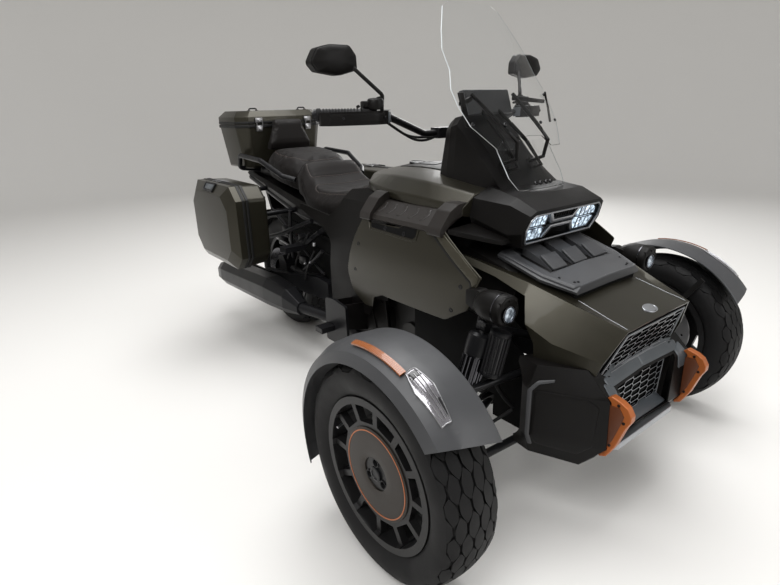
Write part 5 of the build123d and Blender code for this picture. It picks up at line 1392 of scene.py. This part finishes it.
# Rear mechanics
class ROADSTER_OT_mechanics(bpy.types.Operator):
    """Build the dark inner guards that stand in for shade, and the rods, brackets, hoses and bolts between the
    side cases and the flanks
    """
    bl_idname = "roadster.mechanics"
    bl_label = "Mechanics"

    def execute(self, context):
        # a dark panel that hides the rear tyre: painted shade between the side cases and the flanks
        with piece("inner_guard_shades", "painted_shade_black", mirrored=True) as bm:
            guard = rounded([(1120, 560), (1180, 668), (1420, 716), (1640, 676), (1668, 600), (1560, 520),
                             (1430, 430), (1300, 380), (1130, 384)], 30)
            add_prism(bm, side_points(guard, 126), (0.004, 0, 0), 1.5)
            for points in ([(1150, 600), (1600, 640), (1590, 622), (1160, 582)],
                           [(1160, 520), (1490, 560), (1480, 546), (1166, 506)]):
                add_prism(bm, side_points(points, 128), (0.008, 0, 0), 2.0)
        with piece("rear_links", "black_metal", mirrored=True) as bm:
            for points, r in (
                    ([(196, 1150, 640), (188, 1300, 560), (176, 1440, 500), (170, 1560, 470)], 11),
                    ([(204, 1120, 560), (200, 1240, 470), (190, 1330, 420)], 9),
                    ([(214, 1180, 690), (232, 1320, 640), (246, 1440, 590), (250, 1560, 560)], 10),
                    ([(170, 1180, 430), (176, 1330, 520), (178, 1500, 610), (200, 1600, 690)], 8),
                    ([(236, 1340, 720), (230, 1360, 620), (210, 1400, 540), (196, 1420, 470)], 9),
                    ([(150, 1200, 400), (160, 1340, 380), (166, 1500, 390)], 14)):
                add_pipe(bm, [at(*p) for p in points], r * MM, 12, True)
            for x, d, z in ((212, 1280, 590), (220, 1420, 610), (190, 1330, 470), (206, 1500, 540)):
                add_box(bm, x - 16, x + 8, d - 34, d + 34, z - 22, z + 22, 5.0)
        with piece("rear_hoses", "rubber", mirrored=True) as bm:
            for points in ([(232, 1180, 640), (238, 1290, 520), (214, 1380, 430), (180, 1440, 400)],
                           [(220, 1250, 610), (236, 1330, 560), (230, 1420, 470), (190, 1500, 440)],
                           [(228, 1150, 560), (240, 1210, 470), (226, 1260, 400), (190, 1330, 370)]):
                add_pipe(bm, [at(*p) for p in points], 0.0042, 8, True)
        with piece("rear_bolts", "machined_steel", mirrored=True) as bm:
            for d, z, r in ((1134, 594, 9), (1230, 484, 5), (1348, 530, 6), (1180, 500, 4.5), (1390, 600, 5)):
                add_turned(bm, [(-6, 0), (-6, r), (2, r), (5, r * 0.7), (6, 0)], at(238, d, z), (1, 0, 0), 20)
            add_pipe(bm, [at(224, 1348, 530), at(214, 1460, 538), at(204, 1567, 545)], 0.0055, 12)
        return {"FINISHED"}


# Controls
GRIP_RIBS = 12


class ROADSTER_OT_controls(bpy.types.Operator):
    """Build the grips, levers, switches, hoses, hand guards' trim and the mirrors' backs and glass"""
    bl_idname = "roadster.controls"
    bl_label = "Controls"

    def execute(self, context):
        bar = body_of("handlebar")
        grip_axis = Vector((130, 76.5, 1.4)).normalized()
        start = at(385, 510.5, 1150.6)
        with piece("grips", "rubber", bar, mirrored=True) as bm:
            for k in range(GRIP_RIBS):
                add_turned(bm, [(-3, 0), (-3, 17), (-2, 18.6), (2, 18.6), (3, 17), (3, 0)],
                           start + grip_axis * (0.016 + 0.0095 * k), grip_axis, 24)
            add_turned(bm, [(-4, 0), (-4, 17), (-2, 20), (8, 20), (11, 17), (12, 0)],
                       start + grip_axis * 0.132, grip_axis, 28)
        with piece("bar_controls", "black_plastic", bar, mirrored=True) as bm:
            add_turned(bm, [(-26, 0), (-26, 19), (-22, 24), (20, 24), (24, 20), (24, 0)],
                       start - grip_axis * 0.018, grip_axis, 28)
            add_prism(bm, [at(344, 470, 1166), at(392, 490, 1168), at(386, 522, 1168), at(338, 502, 1166)],
                      (0, 0, 0.022), 5.0, 3)
            add_turned(bm, [(0, 0), (0, 24), (2, 26), (24, 26), (30, 22), (31, 0)],
                       at(352, 486, 1166), (0.1, -0.1, 1), 28)
            add_pipe(bm, [at(352, 486, 1190), at(344, 480, 1198), at(330, 480, 1196)], 0.006, 10, True)
            for u in (0, 16, 32):
                add_turned(bm, [(0, 0), (0, 6), (4, 6), (5, 5), (5, 0)],
                           at(350 + u, 520 + u * 0.5, 1172), (0, 0.6, 1), 16)
            lever = [at(338, 476, 1146), at(372, 462, 1142), at(430, 486, 1142), at(488, 520, 1143)]
            add_pipe(bm, lever, 0.006, 10, True)
            add_turned(bm, [(-8, 0), (-8, 9), (8, 9), (8, 0)], at(340, 476, 1146), (0, 0, 1), 20)
        with piece("bar_hoses", "rubber", bar, mirrored=True) as bm:
            for points in ([(330, 490, 1140), (240, 512, 1092), (130, 514, 1046), (58, 514, 1074)],
                           [(336, 500, 1146), (250, 540, 1112), (150, 545, 1060), (58, 530, 1070)]):
                add_pipe(bm, [at(*p) for p in points], 0.0045, 8, True)
        self.guards(bar)
        self.mirrors(body_of("mirrors"))
        return {"FINISHED"}

    def guards(self, bar):
        """A pale block at each guard's inner end, a raised plate along its face and its screws."""
        skin = Skin("hand_guards")
        with piece("guard_tips", "pale_grey_painted_reflection", bar, mirrored=True) as bm:
            add_prism(bm, [at(296, 478, 1124), at(296, 478, 1157), at(318, 460.5, 1157),
                           at(318, 460.5, 1124)], (0.002, 0.004, 0), 1.0)
            add_prism(bm, [at(300, 476, 1160.5), at(322, 460, 1160.5), at(334, 474, 1160.5),
                           at(312, 486, 1160.5)], (0, 0, 0.002), 0.6)
        plate = rounded([(340, 1127), (340, 1153), (500, 1153), (508, 1144), (500, 1127)], 4)
        with piece("guard_faces", "black_plastic", bar, mirrored=True) as bm:
            drape(bm, skin, plate, "y", 1.6, 10, 0.8)
        with piece("guard_screws", "black_metal", bar, mirrored=True) as bm:
            for x in (336, 470):
                hit = skin.hit(at(x, 0, 1140), (0, 1, 0))
                add_bolt(bm, hit[0] + hit[1] * 0.0016, hit[1], 4.6, 2.6)

    def mirrors(self, body):
        """Domed backs with a ball at the stem, and the glass toward the rider."""
        outline = rounded([(372, 1280), (440, 1263), (518, 1274), (540, 1298), (516, 1338), (470, 1350),
                           (398, 1350), (374, 1322)], [10, 60, 16, 14, 20, 60, 20, 20])
        middle = (450, 1310)
        shells, glass = bmesh.new(), bmesh.new()

        def ring(share, d):
            """The outline drawn in to a share of its size, at a distance behind the front axle."""
            return [at(middle[0] + (x - middle[0]) * share, d, middle[1] + (z - middle[1]) * share)
                    for x, z in outline]
        for shares, bm in ((((0.99, 552), (0.93, 542), (0.70, 534), (0.34, 531)), shells),
                           (((0.90, 575.5), (0.88, 577.5)), glass)):
            part = bmesh.new()
            rows = [[part.verts.new(p) for p in ring(*row)] for row in shares]
            for a, b in zip(rows, rows[1:]):
                pairs = [pair for row in (a, b) for pair in zip(row, row[1:] + row[:1])]
                edges = [part.edges.get(pair) or part.edges.new(pair) for pair in pairs]
                bmesh.ops.bridge_loops(part, edges=edges)
            for row in (rows[0], rows[-1]):
                part.faces.new(row)
            bmesh.ops.recalc_face_normals(part, faces=part.faces)
            join(bm, part)
        add_turned(shells, [(-10, 0), (-9, 8), (-4, 11), (4, 11), (9, 8), (10, 0)],
                   at(400, 546, 1296), (0.3, 0.3, 1), 24)
        for bm, name, material in ((shells, "mirror_shells", "black_plastic"),
                                   (glass, "mirror_glass", "mirror_glass")):
            mirror_copy(bm)
            settle(bm, name, material, body)


# Suspension
DAMPER_R = 31
SLEEVE_COILS, SLEEVE_BARS, CAN_BARS = 9, 16, 14
CAN_ENDS = ((384, -42, 468), (352, -50, 590))


def add_bars(bm, place, axis, count, radius, start, length, thickness):
    """Adds a ring of thin bars round an axis, in metres; place is the matrix of its lower end."""
    for k in range(count):
        turn = 2 * pi * k / count
        spot = place @ Vector((radius * cos(turn), radius * sin(turn), start))
        add_pipe(bm, [spot, spot + axis * length], thickness, 6)


class ROADSTER_OT_suspension(bpy.types.Operator):
    """Build the dampers' sleeves, rings and reservoirs, the dark shields that stand in for shade, the hoses
    and the footrest plates
    """
    bl_idname = "roadster.suspension"
    bl_label = "Suspension"

    def execute(self, context):
        self.dampers()
        shield = [(-60, 232), (-64, 470), (30, 530), (200, 560), (440, 560), (440, 232), (160, 232),
                  (160, 306), (62, 306), (62, 232)]
        # a flat dark sheet inside the body ahead of the engine: painted shade
        with piece("inner_shade_shields", "painted_shade_black", mirrored=True) as bm:
            add_prism(bm, side_points(shield, 236), (0.004, 0, 0), 1.0)
        with piece("front_hoses", "rubber", mirrored=True) as bm:
            for points, r in (([(244, -20, 300), (300, -10, 360), (330, 0, 440)], 7),
                              ([(244, 40, 480), (300, 20, 500), (340, 0, 540)], 6),
                              ([(300, -60, 330), (380, -40, 300), (470, -20, 290), (560, -10, 300)], 5),
                              ([(250, 60, 360), (330, 40, 330), (420, 30, 320), (520, 20, 330)], 5)):
                add_pipe(bm, [at(*p) for p in points], r * MM, 10, True)
        self.footrests()
        return {"FINISHED"}

    def dampers(self):
        """Each damper's ribbed sleeve, its ring and cap, and the reservoir beside it."""
        sleeve, ring, cans = bmesh.new(), bmesh.new(), bmesh.new()
        length = (Vector(DAMPER_ENDS[1]) - Vector(DAMPER_ENDS[0])).length
        start = at(*DAMPER_ENDS[0])
        axis = (at(*DAMPER_ENDS[1]) - start).normalized()

        def turned(bm, shape):
            """Adds a turned piece of (share of the damper's length, radius)."""
            add_turned(bm, [(length * share, r) for share, r in shape], start, axis, 32)
        coils = [(length * 0.14, 0), (length * 0.14, 30)]
        for k in range(SLEEVE_COILS):
            here = length * (0.15 + 0.038 * k)
            coils += [(here, DAMPER_R), (here + 3, 33.5), (here + 7, 33.5), (here + 9, DAMPER_R)]
        add_turned(sleeve, coils + [(length * 0.5, 30), (length * 0.5, 0)], start, axis, 32)
        add_bars(sleeve, frame_of(start + axis * length * 0.52 * MM, axis), axis, SLEEVE_BARS, 0.0325, 0,
                 length * 0.26 * MM, 0.0028)
        turned(sleeve, [(0.51, 0), (0.51, DAMPER_R), (0.79, DAMPER_R), (0.79, 0)])
        turned(ring, [(0.5, 30), (0.5, 34.5), (0.515, 34.5), (0.515, 30)])
        turned(cans, [(0.79, 0), (0.79, 34), (0.83, 36), (0.93, 36), (0.95, 28), (0.95, 0)])
        low, top = at(*CAN_ENDS[0]), at(*CAN_ENDS[1])
        along = (top - low).normalized()
        add_bars(cans, frame_of(low, along), along, CAN_BARS, 0.0275, 0.006, 0.110, 0.0038)
        for h in (-3, 113):
            add_turned(cans, [(h, 0), (h, 26), (h + 3, 30), (h + 12, 30), (h + 15, 26), (h + 15, 0)], low,
                       along, 32)
        hose = [(352, -46, 604), (346, -20, 640), (352, 20, 640), (366, 20, 600)]
        add_pipe(cans, [at(*p) for p in hose], 0.006, 10, True)
        for bm, name, material in ((sleeve, "damper_sleeves", "dark_chrome"),
                                   (ring, "damper_rings", "red_ring"),
                                   (cans, "damper_reservoirs", "black_metal")):
            mirror_copy(bm)
            settle(bm, name, material)

    def footrests(self):
        """The black plates that carry the pegs, with their arms and bolts."""
        plate = rounded([(632, 330), (700, 232), (900, 218), (1010, 262), (1024, 400), (960, 480),
                         (650, 470)], 16)
        raised = rounded([(700, 300), (880, 286), (930, 400), (740, 420)], 20)
        with piece("footrest_plates", "black_plastic", mirrored=True) as bm:
            add_prism(bm, side_points(plate, 206), (0.007, 0, 0), 1.6)
            add_prism(bm, side_points(raised, 213), (0.005, 0, 0), 2.0)
            for d in (768, 852):
                add_prism(bm, [at(212, d, 414), at(347, d, 430), at(347, d, 326), at(212, d, 292)],
                          (0, 0.008, 0), 1.2)
            for d, z in ((672, 440), (986, 300), (950, 446), (716, 256)):
                add_bolt(bm, at(213, d, z), (1, 0, 0), 6.0, 3.0)


# Carried-over forms: panels with rounded edges (node, finish, width in mm) and nodes with a finish alone
PANELS = [
    ("nose_cowl", "body_paint", 3.0), ("tank_cover", "body_paint", 5.0), ("side_panels", "body_paint", 2.0),
    ("hood_scoop", "scoop_plastic", 2.0), ("front_bumper", "black_plastic", 4.0),
    ("lamp_housing", "black_plastic", 3.0), ("bumper_guards", "accent_paint", 3.0),
    ("skid_lip", "silver_paint", 2.0), ("cargo_boards", "board_plastic", 2.0),
    ("tail_covers", "black_plastic", 4.0), ("hand_guards", "black_plastic", 3.0),
    ("mirrors", "black_plastic", 2.0), ("rear_fender", "black_plastic", 2.0),
    ("belly_pan", "black_plastic", 2.0), ("front_tub", "black_plastic", 4.0),
]

PLAIN = {
    "black_metal": ["frame", "swing_arm", "wishbones", "steering_rack", "steering_links", "exhaust",
                    "tow_hitch", "case_carrier", "handlebar", "grab_handles", "foot_pegs"],
    "cast_alloy": ["engine"],
    "rubber": ["drive_belt"],
    "spring_black": ["spring_dampers"],
}


class ROADSTER_OT_finishes(bpy.types.Operator):
    """Make every finish and give the rigid nodes theirs"""
    bl_idname = "roadster.finishes"
    bl_label = "Finishes"

    def execute(self, context):
        make_finishes(context.scene.roadster_finish)
        for material, nodes in PLAIN.items():
            for node in nodes:
                painted(node, material)
        return {"FINISHED"}


class ROADSTER_OT_panels(bpy.types.Operator):
    """Round the edges of the moulded and painted panels"""
    bl_idname = "roadster.panels"
    bl_label = "Panels"

    def execute(self, context):
        for node, material, width in PANELS:
            dressed(node, material, width)
        return {"FINISHED"}


# Stage, in metres: the camera's place is the one solved from the photograph
CAMERA_AT = Vector((-1.394, -1.786, 1.175))
CAMERA_YAW, CAMERA_PITCH, CAMERA_ROLL = radians(37.80), radians(19.448), radians(-1.491)
FLOOR_R, FLOOR_BEND, BACKDROP_TOP = 6.5, 2.5, 6
WORLD_LEVEL = 0.38
LAMPS = (
    ("key", (-3.2, -1.6, 4.2), (0, 0, 0.6), 2.6, 150),
    ("over", (0.4, 0.2, 4.6), (0, 0.1, 0.7), 3.4, 190),
    ("front", (1.8, -4.6, 2.6), (0, -0.8, 0.6), 2.4, 55),
    ("rim", (3.8, 2.6, 2.4), (0, 0.3, 0.7), 2.0, 60),
)


class ROADSTER_OT_stage(bpy.types.Operator):
    """Add the floor, the soft lights and the camera"""
    bl_idname = "roadster.stage"
    bl_label = "Stage"

    def execute(self, context):
        s = context.scene.roadster_stage
        scene = context.scene
        self.floor(s)
        self.lights(s, scene)
        self.camera(s, scene)
        scene.view_settings.view_transform = "Standard"
        return {"FINISHED"}

    def floor(self, s):
        """A floor that curves up into a wide backdrop, open at the top."""
        bm = bmesh.new()
        turns = [t * pi / 16 for t in range(1, 9)]
        curve = [(FLOOR_R + FLOOR_BEND * sin(turn), FLOOR_BEND - FLOOR_BEND * cos(turn)) for turn in turns]
        profile = [(0, 0), (FLOOR_R, 0)] + curve + [(FLOOR_R + FLOOR_BEND, BACKDROP_TOP)]
        verts = [bm.verts.new((r, 0, z)) for r, z in profile]
        edges = [bm.edges.new(pair) for pair in zip(verts, verts[1:])]
        bmesh.ops.spin(bm, geom=verts + edges, cent=(0, 0, 0), axis=(0, 0, 1), angle=2 * pi, steps=64,
                       use_merge=True, use_duplicate=False)
        bmesh.ops.remove_doubles(bm, verts=bm.verts, dist=0.0001)
        bmesh.ops.recalc_face_normals(bm, faces=bm.faces)
        if sum(f.normal.z for f in bm.faces) < 0:
            bmesh.ops.reverse_faces(bm, faces=bm.faces)
        mesh = bpy.data.meshes.new("floor")
        bm.to_mesh(mesh)
        bm.free()
        mesh.shade_smooth()
        floor = bpy.data.objects.new("floor", mesh)
        bpy.context.scene.collection.objects.link(floor)
        shader("floor_paint", tuple(s.floor_color), 0.6)
        mesh.materials.append(FINISHES["floor_paint"])

    def lights(self, s, scene):
        """A dim even world and four soft square lamps: name, place, aim, size and power."""
        world = bpy.data.worlds.new("studio")
        scene.world = world
        world.use_nodes = True
        back = world.node_tree.nodes["Background"]
        back.inputs["Strength"].default_value = WORLD_LEVEL * s.light
        back.inputs["Color"].default_value = (1, 0.99, 0.98, 1)
        for name, place, look, size, power in LAMPS:
            light = bpy.data.lights.new(name, "AREA")
            light.shape = "SQUARE"
            light.size = size
            light.energy = power * s.light
            obj = bpy.data.objects.new(name, light)
            obj.location = place
            obj.visible_transmission = False
            obj.rotation_euler = (Vector(look) - Vector(place)).to_track_quat("-Z", "Y").to_euler()
            scene.collection.objects.link(obj)

    def camera(self, s, scene):
        """The camera at the photograph's place, looking down its line with its small roll."""
        data = bpy.data.cameras.new("photo_view")
        data.lens = s.lens
        data.sensor_width = 36
        data.sensor_fit = "HORIZONTAL"
        camera = bpy.data.objects.new("photo_view", data)
        scene.collection.objects.link(camera)
        level_run = cos(CAMERA_PITCH)
        forward = Vector((sin(CAMERA_YAW) * level_run, cos(CAMERA_YAW) * level_run, -sin(CAMERA_PITCH)))
        level = forward.cross(Vector((0, 0, 1))).normalized()
        upright = level.cross(forward)
        right = level * cos(CAMERA_ROLL) + upright * sin(CAMERA_ROLL)
        up = upright * cos(CAMERA_ROLL) - level * sin(CAMERA_ROLL)
        turn = Matrix((right, up, -forward)).transposed()
        camera.matrix_world = Matrix.Translation(CAMERA_AT) @ turn.to_4x4()
        scene.camera = camera


OPERATORS = [ROADSTER_OT_finishes, ROADSTER_OT_panels, ROADSTER_OT_wheels, ROADSTER_OT_grilles,
             ROADSTER_OT_headlamps, ROADSTER_OT_small_lamps, ROADSTER_OT_screen, ROADSTER_OT_luggage,
             ROADSTER_OT_flanks, ROADSTER_OT_mechanics, ROADSTER_OT_suspension, ROADSTER_OT_controls,
             ROADSTER_OT_seats, ROADSTER_OT_stage]
SETTINGS = {"roadster_finish": FinishSettings, "roadster_stage": StageSettings,
            "roadster_wheels": WheelSettings}


class ROADSTER_PT_panel(bpy.types.Panel):
    """Lists the build steps and their settings"""
    bl_label = "Roadster"
    bl_idname = "ROADSTER_PT_panel"
    bl_space_type = "VIEW_3D"
    bl_region_type = "UI"
    bl_category = "Roadster"

    def draw(self, context):
        for name, group in SETTINGS.items():
            box = self.layout.box()
            for key in group.__annotations__:
                box.prop(getattr(context.scene, name), key)
        for operator in OPERATORS:
            self.layout.operator(operator.bl_idname)


def register():
    """Registers the settings, the operators and the panel."""
    for group in SETTINGS.values():
        bpy.utils.register_class(group)
    for name, group in SETTINGS.items():
        setattr(bpy.types.Scene, name, bpy.props.PointerProperty(type=group))
    for cls in [*OPERATORS, ROADSTER_PT_panel]:
        bpy.utils.register_class(cls)


def unregister():
    """Takes away what register added."""
    for cls in [ROADSTER_PT_panel, *reversed(OPERATORS)]:
        bpy.utils.unregister_class(cls)
    for name in SETTINGS:
        delattr(bpy.types.Scene, name)
    for group in SETTINGS.values():
        bpy.utils.unregister_class(group)


def main():
    """Builds the whole scene in order."""
    register()
    for operator in OPERATORS:
        group, name = operator.bl_idname.split(".")
        getattr(getattr(bpy.ops, group), name)()


if __name__ == "__main__":
    main()
